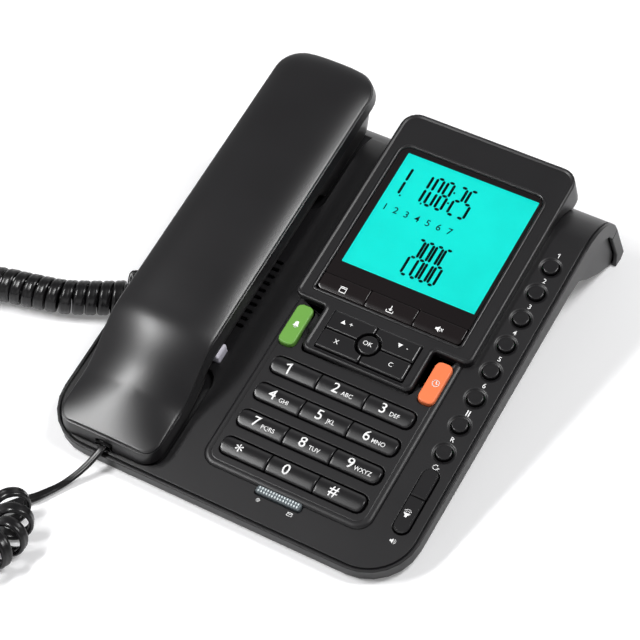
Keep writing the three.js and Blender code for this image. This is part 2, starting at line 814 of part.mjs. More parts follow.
function displayFascia() {
  // The rear hangs over the roll of the deck and is closed below it; over the deck it is open
  const top = (drop) => (point) => fasciaTop(point.y) - drop;
  const low = fasciaTop(fasciaRear) - fasciaDrop;
  const block = (inset) => solid(stack(
    [fasciaPlan(inset + lipRound, fasciaTail), low + inset],
    [fasciaPlan(inset, fasciaTail), low + inset + lipRound],
    [fasciaPlan(inset), top(inset + lipRound)],
    [fasciaPlan(inset + lipRound), top(inset)],
  ));
  const underDeck = solid(across([
    ...rollArc(rollRadius + fitGap, 0, roll, rollSteps), at(deckLength, -2 * overrun),
    at(0, -2 * overrun), at(0, fitGap),
  ], -halfWidth, halfWidth));
  let body = block(0).subtract(underDeck).subtract(block(fasciaWall));

  // Window pocket, soft keys below it and the openings of the navigation keys
  const half = windowWidth / 2;
  const pocket = rectangle(
    panelCentre - half, panelCentre + half, windowFront, windowRear,
    [edgeRound * 2, edgeRound * 2, windowCorner, windowCorner],
  );
  const opening = rectangle(
    panelCentre - half + windowLedge, panelCentre + half - windowLedge, windowFront,
    windowRear - windowLedge, windowCorner - 2 * windowLedge,
  );
  const softRow = rectangle(
    panelCentre - half, panelCentre + half, windowFront, softRear + keyGap, edgeRound, 1,
  );
  const sink = (point) => fasciaTop(point.y) - windowSink - windowThick - fitGap;
  body = body.subtract(solid(stack([pocket, sink], [pocket, overrun])));
  body = body.subtract(solid(stack([opening, -overrun], [opening, overrun])));
  body = body.subtract(solid(stack([softRow, -overrun], [softRow, overrun])));
  const navHalf = navWidth / 2 + keyGap;
  const nav = rectangle(
    panelCentre - navHalf, panelCentre + navHalf, navFront - keyGap, navFront + navDepth + keyGap,
    edgeRound, 1,
  );
  body = body.subtract(solid(stack([nav, -overrun], [nav, overrun])));
  piece(deck, 'display_fascia', body, blackShell);
}

function displayWindow() {
  const half = windowWidth / 2 - fitGap;
  const rear = windowRear - fitGap;
  const front = softRear + keyGap;
  const corner = windowCorner - fitGap;
  const plan = rectangle(
    panelCentre - half, panelCentre + half, front, rear, [edgeRound, edgeRound, corner, corner],
  );
  const high = (point) => fasciaTop(point.y) - windowSink;
  const low = (point) => high(point) - windowThick;
  piece(deck, 'display_window', stack([plan, low], [plan, high]), clearFinish);
}

function lcdPanel() {
  const half = lcdWidth / 2;
  const plan = rectangle(panelCentre - half, panelCentre + half, lcdFront, lcdRear, edgeRound, 1);
  const high = (point) => fasciaTop(point.y) - windowSink - windowThick - fitGap;
  const low = (point) => high(point) - lcdThick;
  piece(deck, 'lcd_panel', stack([plan, low], [plan, high]), glassFinish);
}

// A key cap: a flange below the deck, straight sides and a top edge that is drawn in
function keyCap(name, plan, top, flangeTop, material, round = edgeRound) {
  piece(deck, name, stack(
    [plan(flangeReach), flangeTop - flangeThick], [plan(flangeReach), flangeTop],
    [plan(0), flangeTop], [plan(0), (point) => top(point) - round], [plan(-round), top],
  ), material);
}

function dialKeys() {
  const names = [['star', '0', 'hash'], ['7', '8', '9'], ['4', '5', '6'], ['1', '2', '3']];
  const flangeTop = plateauHeight - deckWall - fitGap;
  names.forEach((row, i) => row.forEach((label, column) => {
    // The top lies level with the plateau at the rear and rises towards the front
    const top = (point) => {
      const share = THREE.MathUtils.clamp((rowFront(i) + dialDepth - point.y) / dialDepth, 0, 1);
      return plateauHeight + edgeRound / 2 + dialRise * share;
    };
    const plan = (margin) => {
      if (margin <= 0) {
        return dialPlan(i, column, margin);
      }
      // The flange only reaches outward in front and behind, where the deck covers it
      return dialPlan(i, column, 0).map((point) => {
        const middle = rowFront(i) + dialDepth / 2;
        return at(point.x, point.y + Math.sign(point.y - middle) * (margin + keyGap));
      });
    };
    keyCap(`dial_key_${label}`, plan, top, flangeTop, blackKeys);
  }));
}

function roundKeys() {
  for (let i = 0; i < roundCount; i += 1) {
    const plan = (margin) => {
      const grow = margin > 0 ? margin + keyGap : margin;
      return circle(roundPlace, roundCentre(roundCount - 1 - i), roundDiameter + 2 * grow, 12);
    };
    keyCap(`round_key_${i + 1}`, plan, () => roundRise, -deckWall - fitGap, blackKeys);
  }
}

function ovalKeys() {
  for (const [name, upper] of [['oval_key_upper', true], ['oval_key_lower', false]]) {
    const plan = (margin) => {
      if (margin <= 0) {
        return ovalHalfPlan(upper, margin);
      }
      return ovalHalfPlan(upper, 0).map((point) => at(
        point.x + Math.sign(point.x - roundPlace) * (margin + keyGap), point.y,
      ));
    };
    keyCap(name, plan, () => ovalRise, -deckWall - fitGap, blackKeys);
  }
}

function sideKeys() {
  const flangeTop = -deckWall - fitGap;
  const top = () => plateauHeight + sideKeyRise;
  const keys = [['green_key', -1, greenKeyFinish], ['orange_key', 1, orangeKeyFinish]];
  for (const [name, side, material] of keys) {
    const plan = (margin) => {
      if (margin <= 0) {
        return sideKeyPlan(side, margin);
      }
      const middle = sideKeyRear - sideKeyLength / 2;
      return sideKeyPlan(side, 0).map((point) => at(
        point.x, point.y + Math.sign(point.y - middle) * (point.y > middle ? 0 : margin + keyGap),
      ));
    };
    keyCap(name, plan, top, flangeTop, material);
  }
}

// Soft keys and navigation keys stand on a stem that reaches down to the mat. The round one has
// a collar that keeps it upright between the four around it.
const stemLow = boardTop + matThick + fitGap + keyTravel + fitGap;
const capLow = keyTravel + fitGap;

function stemKey(name, plan, top, stem, material, collar = 0) {
  const under = (point) => top(point) - edgeRound;
  const rim = capLow + flangeThick;
  const cap = solid(stack(
    [plan(collar), capLow], [plan(collar), rim], [plan(0), rim + edgeRound], [plan(0), under],
    [plan(-edgeRound), top],
  ));
  const shaft = solid(stack([stem, stemLow], [stem, rim]));
  piece(deck, name, cap.add(shaft), material);
}

function softKeys() {
  ['left', 'middle', 'right'].forEach((label, column) => {
    const first = panelCentre - windowWidth / 2 + fitGap;
    const pitch = (windowWidth - 2 * fitGap) / 3;
    const left = first + column * pitch + fitGap / 2;
    const right = left + pitch - fitGap;
    const plan = (margin) => rectangle(
      left - margin, right + margin, softFront - margin, softRear + margin, edgeRound, 1,
    );
    const middle = (left + right) / 2;
    const stem = rectangle(
      middle - softDepth / 2, middle + softDepth / 2, softFront + deckLedge + keyGap * 2,
      softRear - keyGap * 2, 0,
    );
    const top = (point) => fasciaTop(point.y) - windowSink + softRise;
    stemKey(`soft_key_${label}`, plan, top, stem, blackGloss);
  });
}

function navigationKeys() {
  const names = [
    ['nav_key_out', -1, -1], ['nav_key_delete', 1, -1], ['nav_key_up', -1, 1], ['nav_key_down', 1, 1],
  ];
  const ring = circle(panelCentre, navMiddle, navCentreDiameter + 2 * navRing, 16);
  const hole = solid(stack([ring, -overrun], [ring, overrun]));
  const top = (point) => fasciaTop(point.y) + navRise;
  for (const [name, side, rear] of names) {
    const plan = (margin) => {
      const span = (centre, way, reach) => [
        centre + way * (fitGap / 2 - margin), centre + way * (reach + margin),
      ].sort((a, b) => a - b);
      const [left, right] = span(panelCentre, side, navWidth / 2);
      const [front, behind] = span(navMiddle, rear, navDepth / 2);
      return rectangle(left, right, front, behind, edgeRound, 1);
    };
    const under = (point) => top(point) - edgeRound;
    const cap = solid(stack([plan(0), capLow], [plan(0), under], [plan(-edgeRound), top]));
    const stemU = panelCentre + side * (navWidth / 4 + navRing * 2);
    const stemV = navMiddle + rear * navDepth / 4;
    const half = navDepth / 8;
    const stem = rectangle(stemU - half, stemU + half, stemV - half, stemV + half, 0);
    const shaft = solid(stack([stem, stemLow], [stem, capLow + edgeRound]));
    piece(deck, name, cap.subtract(hole).add(shaft), blackKeys);
  }
  const plan = (margin) => circle(panelCentre, navMiddle, navCentreDiameter + 2 * margin, 16);
  const stem = circle(panelCentre, navMiddle, navCentreDiameter / 2, 8);
  stemKey('nav_key_centre', plan, top, stem, blackKeys, navRing - fitGap);
}

function lensPlan(margin) {
  const half = lensWidth / 2 + margin;
  const run = lensDepth / 2 + margin;
  return rectangle(
    panelCentre - half, panelCentre + half, lensCentre - run, lensCentre + run, lensDepth / 4, 2,
  );
}

function indicatorLens() {
  const grown = lensPlan(0).map((point) => at(
    point.x, point.y + Math.sign(point.y - lensCentre) * (keyGap + flangeReach / 2),
  ));
  const flangeTop = -deckWall - fitGap;
  piece(deck, 'indicator_lens', stack(
    [grown, flangeTop - flangeThick], [grown, flangeTop], [lensPlan(0), flangeTop],
    [lensPlan(0), lensRise - edgeRound], [lensPlan(-edgeRound), lensRise],
  ), clearFinish);
}

function hookPlunger() {
  // The top slopes up towards the middle of the handle, which rests on its high side
  const top = (point) => THREE.MathUtils.mapLinear(
    point.x, plungerPlace + plungerWidth / 2, plungerPlace - plungerWidth / 2,
    plungerRise, handleBottom - fitGap,
  );
  const grown = plungerPlan(keyGap + flangeReach);
  const flangeTop = -deckWall - fitGap - plungerTravel;
  piece(deck, 'hook_plunger', stack(
    [grown, flangeTop - flangeThick], [grown, flangeTop], [plungerPlan(0), flangeTop],
    [plungerPlan(0), (point) => top(point) - edgeRound], [plungerPlan(-edgeRound), top],
  ), whiteFinish);
}

function mainBoard() {
  const plan = rectangle(boardLeft, boardRight, boardFront, boardRear, 0);
  piece(deck, 'main_board', stack([plan, boardTop - boardThick], [plan, boardTop]), boardFinish);
}

function keypadMat() {
  const low = boardTop + fitGap;
  const rear = rowFront(dialRows) - rowPitch + dialDepth + fitGap;
  const dialPart = rectangle(dialLeft, dialRight, boardFront + fitGap, rear, edgeRound, 1);
  const side = navWidth / 2;
  const navPart = rectangle(
    panelCentre - side, panelCentre + side, rear - matThick, navFront + navDepth, 0,
  );
  const layer = (plan) => solid(stack([plan, low], [plan, low + matThick]));
  piece(deck, 'keypad_mat', layer(dialPart).add(layer(navPart)), rubberFinish);
}

function loudspeaker() {
  const disc = (diameter) => circle(slotPlace, slotCentre, diameter, 20);
  const top = -deckWall - fitGap;
  piece(deck, 'loudspeaker', stack(
    [disc(speakerDiameter / 2), top - speakerThick], [disc(speakerDiameter / 2), top - speakerThick / 2],
    [disc(speakerDiameter), top - speakerThick / 4], [disc(speakerDiameter), top],
  ), capsuleFinish);
}

// Side jack: an open box between the housings, and the plug that sits in it
function sideJack() {
  const depth = plugLength + jackWall;
  const left = -halfWidth + bandWall / 4;
  const half = plugWidth / 2;
  const box = rectangle(
    left, left + depth, jackCentre - half - jackWall, jackCentre + half + jackWall, 0,
  );
  const bore = rectangle(
    left - overrun, left + depth - jackWall, jackCentre - half - fitGap, jackCentre + half + fitGap, 0,
  );
  const low = jackTop - plugHeight - 2 * jackWall;
  const block = solid(stack([box, low], [box, jackTop]));
  const high = plugHeight / 2 + fitGap;
  const room = solid(stack([bore, jackMiddle - high], [bore, jackMiddle + high]));
  piece(deck, 'handset_jack', block.subtract(room), blackKeys);
}

function plugShape(length) {
  const half = plugWidth / 2;
  const high = plugHeight / 2;
  const right = [at(half, -high), at(half, high * plugStepShare), at(half * plugTopShare, high)];
  const profile = [...right, ...right.map((point) => at(-point.x, point.y)).reverse()];
  const ring = (run) => profile.map((point) => new THREE.Vector3(run, point.x, point.y));
  return loft([ring(0), ring(length)], ['y', 'z']);
}

function plugs() {
  const side = plugShape(plugLength - fitGap);
  side.translate(-halfWidth - plugProud + bandWall / 4, jackCentre, jackMiddle);
  piece(deck, 'base_plug', side, clearFinish);
  const end = plugShape(plugLength);
  end.rotateZ(Math.PI / 2);
  end.translate(0, plugFront, plugCentre);
  piece(handset, 'handset_plug', end, clearFinish);
}

const plugFront = handsetNear - endFlare - plugProud / 4;
const handsetSeatTop = handleBottom + fitGap + screwHeadThick + plateWall;
const plugCentre = plugHeight / 2 + fitGap;

// Heights along the handset, d from its near end
function bend(d) {
  return THREE.MathUtils.smoothstep(d, bendStart, bendStart + bendLength);
}
const creaseHeight = (d) => THREE.MathUtils.lerp(mouthCrease, handleCrease, bend(d));
const rimHeight = (d) => THREE.MathUtils.lerp(mouthRim, handleRim, bend(d));

function crownHeight(d) {
  const run = Math.min(d, handsetLength - d, crownRun) / crownRun;
  return crownRise * Math.sqrt(1 - (1 - run) ** 2);
}

// Stations along the handset: round the near corner, along the body and round the far corner
function stations(places, inset) {
  const corner = (radius, angle) => ({
    d: radius * (1 - Math.cos(angle)), loss: radius * (1 - Math.sin(angle)),
  });
  const quarter = [0, 30, 60, 90].map((angle) => angle * degree);
  const near = quarter.map((angle) => (
    { ...corner(nearCorner - inset / 2, angle), lean: -Math.cos(angle) }
  ));
  const far = quarter.map((angle) => (
    { ...corner(farCorner - inset / 2, angle), lean: Math.cos(angle) }
  ));
  return [
    ...near.map(({ d, loss, lean }) => ({ d: d + inset, loss, lean })),
    ...places.map((d) => ({ d, loss: 0, lean: 0 })),
    ...far.reverse().map(({ d, loss, lean }) => ({ d: handsetLength - d - inset, loss, lean })),
  ];
}

const crownShares = [-1, -0.88, -0.62, -0.3, 0, 0.3, 0.62, 0.88, 1];

// Both shells have a ring at the same places, so that their seam stays even
const bendStationShares = [0, 0.22, 0.4, 0.78, 1];
const handsetStations = [
  crownRun, ...bendStationShares.map((share) => bendStart + bendLength * share),
  mouthCupEnd, mouthCupEnd + cupSlope, handsetScrewCentre, earCupStart, earCupStart + cupSlope,
  handsetLength - crownRun,
].sort((a, b) => a - b);

function outerRings(inset) {
  return stations(handsetStations, inset).map(({ d, loss, lean }) => {
    const half = creaseHalf - loss - inset;
    const v = handsetNear + d;
    const crease = creaseHeight(d) - inset;
    const low = rimHeight(d) - (inset ? sideFlare : 0);
    const spread = sideFlare * (1 - Math.abs(lean) / 2);
    const top = crownShares.map((share) => (
      new THREE.Vector3(half * share, v, crease + crownHeight(d) * (1 - Math.abs(share) ** 2.6))
    ));
    const left = new THREE.Vector3(-half - spread, v + lean * endFlare, low);
    const right = new THREE.Vector3(half + spread, v + lean * endFlare, low);
    return [left, ...top, right];
  });
}

// Notch for the plug in the near end of both shells
function plugNotch() {
  const half = plugWidth / 2 + keyGap;
  const high = plugCentre + plugHeight / 2 + keyGap;
  const plan = rectangle(-half, half, handsetNear - overrun, plugFront + plugLength + fitGap, 0);
  return solid(stack([plan, -overrun], [plan, high]));
}

function handsetOuterShell() {
  const body = (inset) => solid(loft(outerRings(inset), ['x', 'z']));
  let shell = body(0).subtract(body(shellWall));
  // Boss that takes the screw from below
  const d = handsetScrewCentre;
  const boss = circle(0, handsetNear + d, screwBoss, 8);
  const core = circle(0, handsetNear + d, screwShaft + 2 * fitGap, 8);
  const low = handsetSeatTop + fitGap;
  const high = creaseHeight(d) + crownHeight(d) - shellWall / 2;
  shell = shell.add(solid(stack([boss, low], [boss, high])));
  shell = shell.subtract(solid(stack([core, -overrun], [core, low + screwLength])));
  piece(handset, 'handset_outer_shell', shell.subtract(plugNotch()), blackShell);
}

// Underside of the inner shell: mouth cup, handle and ear cup
function undersideHeight(d) {
  const afterMouth = THREE.MathUtils.clamp((d - mouthCupEnd) / cupSlope, 0, 1);
  const atEar = THREE.MathUtils.clamp((d - earCupStart) / cupSlope, 0, 1);
  const plain = THREE.MathUtils.lerp(mouthBottom, handleBottom, afterMouth);
  return THREE.MathUtils.lerp(plain, earBottom, atEar);
}

function innerRings(inset) {
  return stations(handsetStations, innerInset + inset).map(({ d, loss }) => {
    const v = handsetNear + d;
    const top = rimHeight(d) - fitGap;
    const bottom = undersideHeight(d) + inset;
    const rim = creaseHalf + sideFlare - shellTuck - loss - inset;
    const knee = rim - shellDraftShare * (top - bottom - shellChamfer) - inset * shellDraftShare;
    const high = top + (inset ? inset * 2 : 0);
    const right = [[knee - shellChamfer, bottom], [knee, bottom + shellChamfer], [rim, high]];
    const left = right.map(([u, n]) => [-u, n]).reverse();
    return [...left, ...right].map(([u, n]) => new THREE.Vector3(u, v, n));
  });
}

function handsetInnerShell() {
  const body = (inset) => solid(loft(innerRings(inset), ['x', 'z']));
  let shell = body(0).subtract(body(shellWall));
  const drill = (u, v, diameter, sides = 6) => {
    const plan = circle(u, v, diameter, sides);
    shell = shell.subtract(solid(stack([plan, -overrun], [plan, shellWall * 2 + handleBottom])));
  };
  for (const centre of [earpieceCentre, microphoneCentre]) {
    drill(0, centre, soundHole);
    for (let i = 0; i < soundHoles; i += 1) {
      const angle = i * 2 * Math.PI / soundHoles;
      const ring = centre === earpieceCentre ? soundRing : soundRing / 2;
      drill(Math.cos(angle) * ring, centre + Math.sin(angle) * ring, soundHole);
    }
  }
  const screwV = handsetNear + handsetScrewCentre;
  const seat = circle(0, screwV, screwHead + 2 * fitGap + 2 * plateWall, 8);
  const bore = circle(0, screwV, screwHead + 2 * fitGap, 8);
  shell = shell.add(solid(stack([seat, handleBottom], [seat, handsetSeatTop])));
  shell = shell.subtract(solid(stack([bore, -overrun], [bore, handsetSeatTop - plateWall])));
  drill(0, screwV, screwShaft + 2 * fitGap, 8);
  piece(handset, 'handset_inner_shell', shell.subtract(plugNotch()), blackShell);
}

function capsules() {
  const disc = (name, v, diameter, low, thick) => {
    const wide = circle(0, v, diameter, 16);
    const small = circle(0, v, diameter * 0.7, 16);
    const shape = stack([wide, low], [wide, low + thick * 0.6], [small, low + thick]);
    piece(handset, name, shape, capsuleFinish);
  };
  const earFloor = earBottom + shellWall + fitGap;
  const mouthFloor = mouthBottom + shellWall + fitGap;
  disc('earpiece_capsule', earpieceCentre, earpieceDiameter, earFloor, earpieceThick);
  disc('microphone_capsule', microphoneCentre, microphoneDiameter, mouthFloor, microphoneThick);
}

function screw(group, name, u, v, low) {
  const head = circle(u, v, screwHead, 12);
  const shaft = circle(u, v, screwShaft, 12);
  piece(group, name, stack(
    [head, low], [head, low + screwHeadThick], [shaft, low + screwHeadThick],
    [shaft, low + screwHeadThick + screwLength],
  ), steelFinish);
}

// Route of the curly cord's centre line, on the floor beside the telephone, y from the front edge
const curlRoute = [
  [-93.5, 82.5, 8.6], [-98, 79.5, 8.6], [-103.5, 76.3, 8.6], [-110, 72.8, 8.6], [-120, 68, 8.6],
  [-135.5, 63.8, 8.6], [-150.5, 59.8, 8.6], [-172, 47, 8.6], [-187, 26, 8.6], [-192, 0, 8.6],
  [-186, -26, 8.6],
  [-170, -50, 8.6], [-147, -69, 8.6], [-119, -81, 8.6], [-93, -84, 8.6], [-74, -77.5, 8.6],
  [-64.5, -67, 8.6], [-62.5, -55.5, 8.6], [-67, -45.5, 8.6], [-75.5, -39, 8.6],
].map((place) => new THREE.Vector3(...place));

// Free ends between the plugs and the curls
const baseTailRoute = [[-93, 86.5, -0.6]];
const handsetTailRoute = [
  [-68.2, -29.2, 2.2], [-65.4, -24.4, 2.3], [-62.6, -19, 2.4], [-60, -13.5, 3.6],
  [-57.2, -7.5, 6.2], [-55.3, -1.8, 9],
].map((place) => new THREE.Vector3(...place));

function curlFrames() {
  const path = new THREE.CatmullRomCurve3(curlRoute, false, 'centripetal');
  const length = path.getLength();
  // On the inside of a bend the curls stay just apart, so there the coil is drawn out
  const samples = 400;
  const reach = curlRadius + cordThick / 2;
  const pitchAt = (share) => {
    const [from, to] = [-2, 2].map((step) => THREE.MathUtils.clamp(share + step / samples, 0, 1));
    const turn = path.getTangentAt(from).angleTo(path.getTangentAt(to)) / (to - from) / length;
    const loose = THREE.MathUtils.lerp(curlPitch, loosePitch, THREE.MathUtils.smoothstep(share, 0.75, 1));
    return Math.max(loose, (curlWidth + curlGap) / (1 - Math.min(turn * reach, 0.6)));
  };
  const turns = [0];
  for (let i = 1; i <= samples; i += 1) {
    turns.push(turns[i - 1] + length / samples / pitchAt((i - 0.5) / samples));
  }
  // The last curl ends at the floor, where the free end leaves it
  const whole = Math.floor(turns[samples]) + curlEndShare;
  const stepCount = Math.round(whole * curlSteps);
  const up = new THREE.Vector3(0, 0, 1);
  const frames = [];
  let sample = 0;
  for (let step = 0; step <= stepCount; step += 1) {
    const wanted = turns[samples] * step / stepCount;
    while (sample < samples - 1 && turns[sample + 1] < wanted) {
      sample += 1;
    }
    const inside = (wanted - turns[sample]) / (turns[sample + 1] - turns[sample]);
    const share = (sample + inside) / samples;
    const along = path.getTangentAt(share);
    const side = up.clone().cross(along).normalize();
    const lift = along.clone().cross(side).normalize();
    const angle = -2 * Math.PI * whole * step / stepCount;
    const outward = side.clone().multiplyScalar(Math.cos(angle)).addScaledVector(lift, Math.sin(angle));
    const winding = side.clone().multiplyScalar(Math.sin(angle)).addScaledVector(lift, -Math.cos(angle));
    const heading = winding.multiplyScalar(2 * Math.PI * curlRadius)
      .addScaledVector(along, curlPitch).normalize();
    const place = path.getPointAt(share).addScaledVector(outward, curlRadius);
    frames.push({ place, outward, along, heading });
  }
  return frames;
}

function curlRing(frame) {
  return Array.from({ length: curlSides }, (_, i) => {
    const angle = (i + 0.25) * 2 * Math.PI / curlSides;
    return frame.place.clone()
      .addScaledVector(frame.along, Math.cos(angle) * curlWidth / 2)
      .addScaledVector(frame.outward, Math.sin(angle) * cordThick / 2);
  });
}

// Straight end of the wound tube, one width long, along the cord at its first or last frame
function curlEnd(frames, last, run) {
  const here = last ? frames.at(-1) : frames[0];
  const heading = here.heading.clone().multiplyScalar(last ? 1 : -1);
  return { ...here, place: here.place.clone().addScaledVector(heading, run), heading };
}

// Least distance between points of the tube's surface that are half a curl or more apart
function leastCurlGap(rings) {
  const points = rings.flatMap((ring, i) => ring.flatMap((corner, side) => {
    const next = rings[Math.min(i + 1, rings.length - 1)][side];
    const beside = ring[(side + 1) % curlSides];
    return [corner, corner.clone().lerp(next, 0.5), corner.clone().lerp(beside, 0.5)]
      .map((place) => ({ place, ring: i }));
  }));
  let least = Infinity;
  for (let i = 0; i < points.length; i += 1) {
    for (let j = i + 1; j < points.length; j += 1) {
      if (points[j].ring - points[i].ring >= curlSteps / 2) {
        least = Math.min(least, points[i].place.distanceToSquared(points[j].place));
      }
    }
  }
  return Math.sqrt(least);
}

function tube(name, points) {
  const shape = new THREE.Shape(circle(0, 0, tailDiameter, tailSides));
  const path = new THREE.CatmullRomCurve3(points, false, 'centripetal');
  const steps = Math.max(4, Math.round(path.getLength() / (tailDiameter * 1.8)));
  piece(floor, name, new THREE.ExtrudeGeometry(shape, { extrudePath: path, steps }), cordFinish);
}

function cords() {
  const frames = curlFrames();
  const ends = [curlEnd(frames, false, cordWidth), curlEnd(frames, true, cordWidth)];
  const rings = [ends[0], ...frames, ends[1]].map(curlRing);
  piece(floor, 'curly_cord', loft(rings), cordFinish);
  const curls = Math.floor(frames.length / curlSteps);
  console.log(`curly cord: ${curls} curls, least gap ${leastCurlGap(rings).toFixed(2)} mm`);

  // The free ends leave the plugs square and meet the wound tube end to end
  deck.updateMatrixWorld(true);
  const [start, end] = [false, true].map((last) => curlEnd(frames, last, cordWidth + fitGap));
  const onDeck = (u, v, n) => new THREE.Vector3(u, v, n).applyMatrix4(deck.matrixWorld);
  const basePlugEnd = onDeck(-halfWidth - plugProud + bandWall / 4 - fitGap, jackCentre, jackMiddle);
  const lead = new THREE.Vector3(-1, 0, 0);
  const baseBend = baseTailRoute.map(([x, y, drop]) => new THREE.Vector3(x, y, basePlugEnd.z + drop));
  tube('base_cord_tail', [
    basePlugEnd, basePlugEnd.clone().addScaledVector(lead, tailDiameter / 2), ...baseBend,
    start.place.clone().addScaledVector(start.heading, tailDiameter), start.place,
  ]);
  const handsetPlugEnd = onDeck(handsetCentre, plugFront - fitGap, plugCentre);
  const handsetLead = new THREE.Vector3(0, -Math.cos(tilt), -Math.sin(tilt));
  tube('handset_cord_tail', [
    end.place, end.place.clone().addScaledVector(end.heading, tailDiameter), ...handsetTailRoute,
    handsetPlugEnd.clone().addScaledVector(handsetLead, tailDiameter / 2), handsetPlugEnd,
  ]);
}

upperHousing();
lowerHousing();
rearStand();
feet();
displayFascia();
displayWindow();
lcdPanel();
mainBoard();
keypadMat();
loudspeaker();
hookPlunger();
indicatorLens();
lineJack();
sideJack();
screw(deck, 'base_screw', baseScrewPlace, baseScrewCentre, baseScrewLow);
dialKeys();
softKeys();
navigationKeys();
sideKeys();
roundKeys();
ovalKeys();
handsetOuterShell();
handsetInnerShell();
capsules();
screw(handset, 'handset_screw', 0, handsetNear + handsetScrewCentre, handleBottom + fitGap / 2);
plugs();
cords();

// The origin is at the middle of the telephone's footprint, the cord and its plugs left out
const telephone = new THREE.Group();
telephone.add(deck, floor);
telephone.updateMatrixWorld(true);
const footprint = new THREE.Box3();
deck.traverse((object) => {
  if (object.isMesh && !object.name.endsWith('_plug')) {
    footprint.expandByObject(object, true);
  }
});
telephone.position.y = -footprint.getCenter(new THREE.Vector3()).y;
telephone.updateMatrixWorld(true);

export default telephone;
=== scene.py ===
import json
import math

import bmesh
import bpy
from mathutils import Matrix, Vector
from mathutils.bvhtree import BVHTree


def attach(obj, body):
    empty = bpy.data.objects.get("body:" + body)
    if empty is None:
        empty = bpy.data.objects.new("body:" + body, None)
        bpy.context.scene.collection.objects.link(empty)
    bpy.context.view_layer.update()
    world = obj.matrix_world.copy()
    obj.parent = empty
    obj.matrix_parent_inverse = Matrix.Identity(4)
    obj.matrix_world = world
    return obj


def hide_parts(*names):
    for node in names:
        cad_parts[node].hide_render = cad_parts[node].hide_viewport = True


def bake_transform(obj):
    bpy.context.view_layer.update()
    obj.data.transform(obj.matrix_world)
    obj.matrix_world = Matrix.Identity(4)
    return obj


bl_info = {
    "name": "Corded Telephone",
    "version": (1, 0, 0),
    "blender": (4, 5, 0),
    "location": "3D View > Sidebar > Telephone",
    "description": "Builds a corded desk telephone piece by piece round its frame",
    "category": "Add Mesh",
}

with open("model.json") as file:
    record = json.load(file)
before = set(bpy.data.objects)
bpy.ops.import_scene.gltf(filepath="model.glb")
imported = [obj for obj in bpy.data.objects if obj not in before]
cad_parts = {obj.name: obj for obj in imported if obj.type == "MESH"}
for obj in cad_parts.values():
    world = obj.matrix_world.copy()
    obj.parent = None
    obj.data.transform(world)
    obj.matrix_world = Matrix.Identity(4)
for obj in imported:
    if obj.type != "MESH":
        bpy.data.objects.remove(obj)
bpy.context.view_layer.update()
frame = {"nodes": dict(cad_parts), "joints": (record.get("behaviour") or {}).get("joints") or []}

MM = 0.001
LIFT_AXIS = next(j["axis"] for j in frame["joints"] if j["name"] == "handset_lift")
TILT = math.atan2(-LIFT_AXIS[1], LIFT_AXIS[2])
DECK_FRONT = -112.49
DECK_HEIGHT = 7.2
DECK = (
    Matrix.Scale(MM, 4)
    @ Matrix.Translation((0, DECK_FRONT, DECK_HEIGHT))
    @ Matrix.Rotation(TILT, 4, "X")
)
OFF_DECK = DECK.inverted()

# The camera stands where the photograph was taken: angles in degrees, places in millimetres
VIEW_AZIMUTH = 29.65
VIEW_ELEVATION = 47.31
VIEW_TARGET = (-15.4, 7.41, 0)
VIEW_DISTANCE = 1017.1
VIEW_LENS = 125.9
VIEW_SENSOR = 36


def linear(code):
    """The linear colour of an sRGB hex value such as 1c1c1e."""
    shares = [int(code[i:i + 2], 16) / 255 for i in (0, 2, 4)]
    return [c / 12.92 if c <= 0.04045 else ((c + 0.055) / 1.055) ** 2.4 for c in shares]


def length(name, description, size):
    return bpy.props.FloatProperty(
        name=name, description=description, default=size * MM, min=0, precision=5, unit="LENGTH"
    )


def colour(name, description, code):
    return bpy.props.FloatVectorProperty(
        name=name, description=description, default=linear(code), min=0, max=1, size=3,
        subtype="COLOR",
    )


class CordSizes(bpy.types.PropertyGroup):
    """Sizes of the curly cord"""

    width: length("Cord width", "Width of the flat cord", 5.2)
    thick: length("Cord thickness", "Thickness of the flat cord", 2.5)
    groove: length("Groove", "Depth of the groove between the two halves of the cord", 0.3)
    radius: length("Curl radius", "From the coil's middle to the cord's middle", 6.8)
    pitch: length("Curl pitch", "From curl to curl where the coil lies closed", 5.66)
    loose: length("Loose pitch", "From curl to curl at the handset's end", 7.4)
    total: length("Cord length", "Length of the cord from plug to plug, uncoiled", 2640)


class ShellSizes(bpy.types.PropertyGroup):
    """Sizes of the handset and the housings"""

    wall: length("Shell wall", "Wall of the handset's shells", 1.8)
    crown: length("Crown", "Rise of the handset's back over its edge", 3.8)
    seam: length("Seam", "Height of the dark line below the handset's edge", 0.55)
    seam_depth: length("Seam depth", "Depth of that line", 0.6)
    rim: length("Rim", "Width of the raised rim round the deck", 1.5)
    line: length("Line", "Width and depth of the line inside the rim", 0.5)
    edge: length("Edge", "Radius of the housings' edges", 0.45)
    dish: length("Dish", "Diameter of the dished place round a round key", 10.4)


class KeySizes(bpy.types.PropertyGroup):
    """Sizes of the keys and their print"""

    edge: length("Key edge", "Radius of a key's upper edge", 0.9)
    digit: length("Digit", "Height of the digits on the keys", 5.7)
    letter: length("Letter", "Height of the small letters on the keys", 2.2)
    mark: length("Mark", "Height of the marks beside the round keys", 2.6)
    ink: length("Ink", "Thickness of the printed ink", 0.03)


class FinishColours(bpy.types.PropertyGroup):
    """Colours of the finishes"""

    shell: colour("Shell", "Black plastic of the housings and the handset", "121113")
    keys: colour("Keys", "Black plastic of the keys", "111012")
    cord: colour("Cord", "Black jacket of the cord", "0a090b")
    green: colour("Green key", "Green plastic of the left coloured key", "689d44")
    orange: colour("Orange key", "Orange plastic of the right coloured key", "e8784a")
    light: colour("Display light", "Back light of the display", "14ede0")
    ink: colour("Print", "White ink of the print", "ececec")


# Mesh work, in the deck's millimetres

# Points this close are one point of a new piece, and of a piece whose edges are to be rounded
SAME_POINT = 1e-4
SAME_CORNER = 2e-3
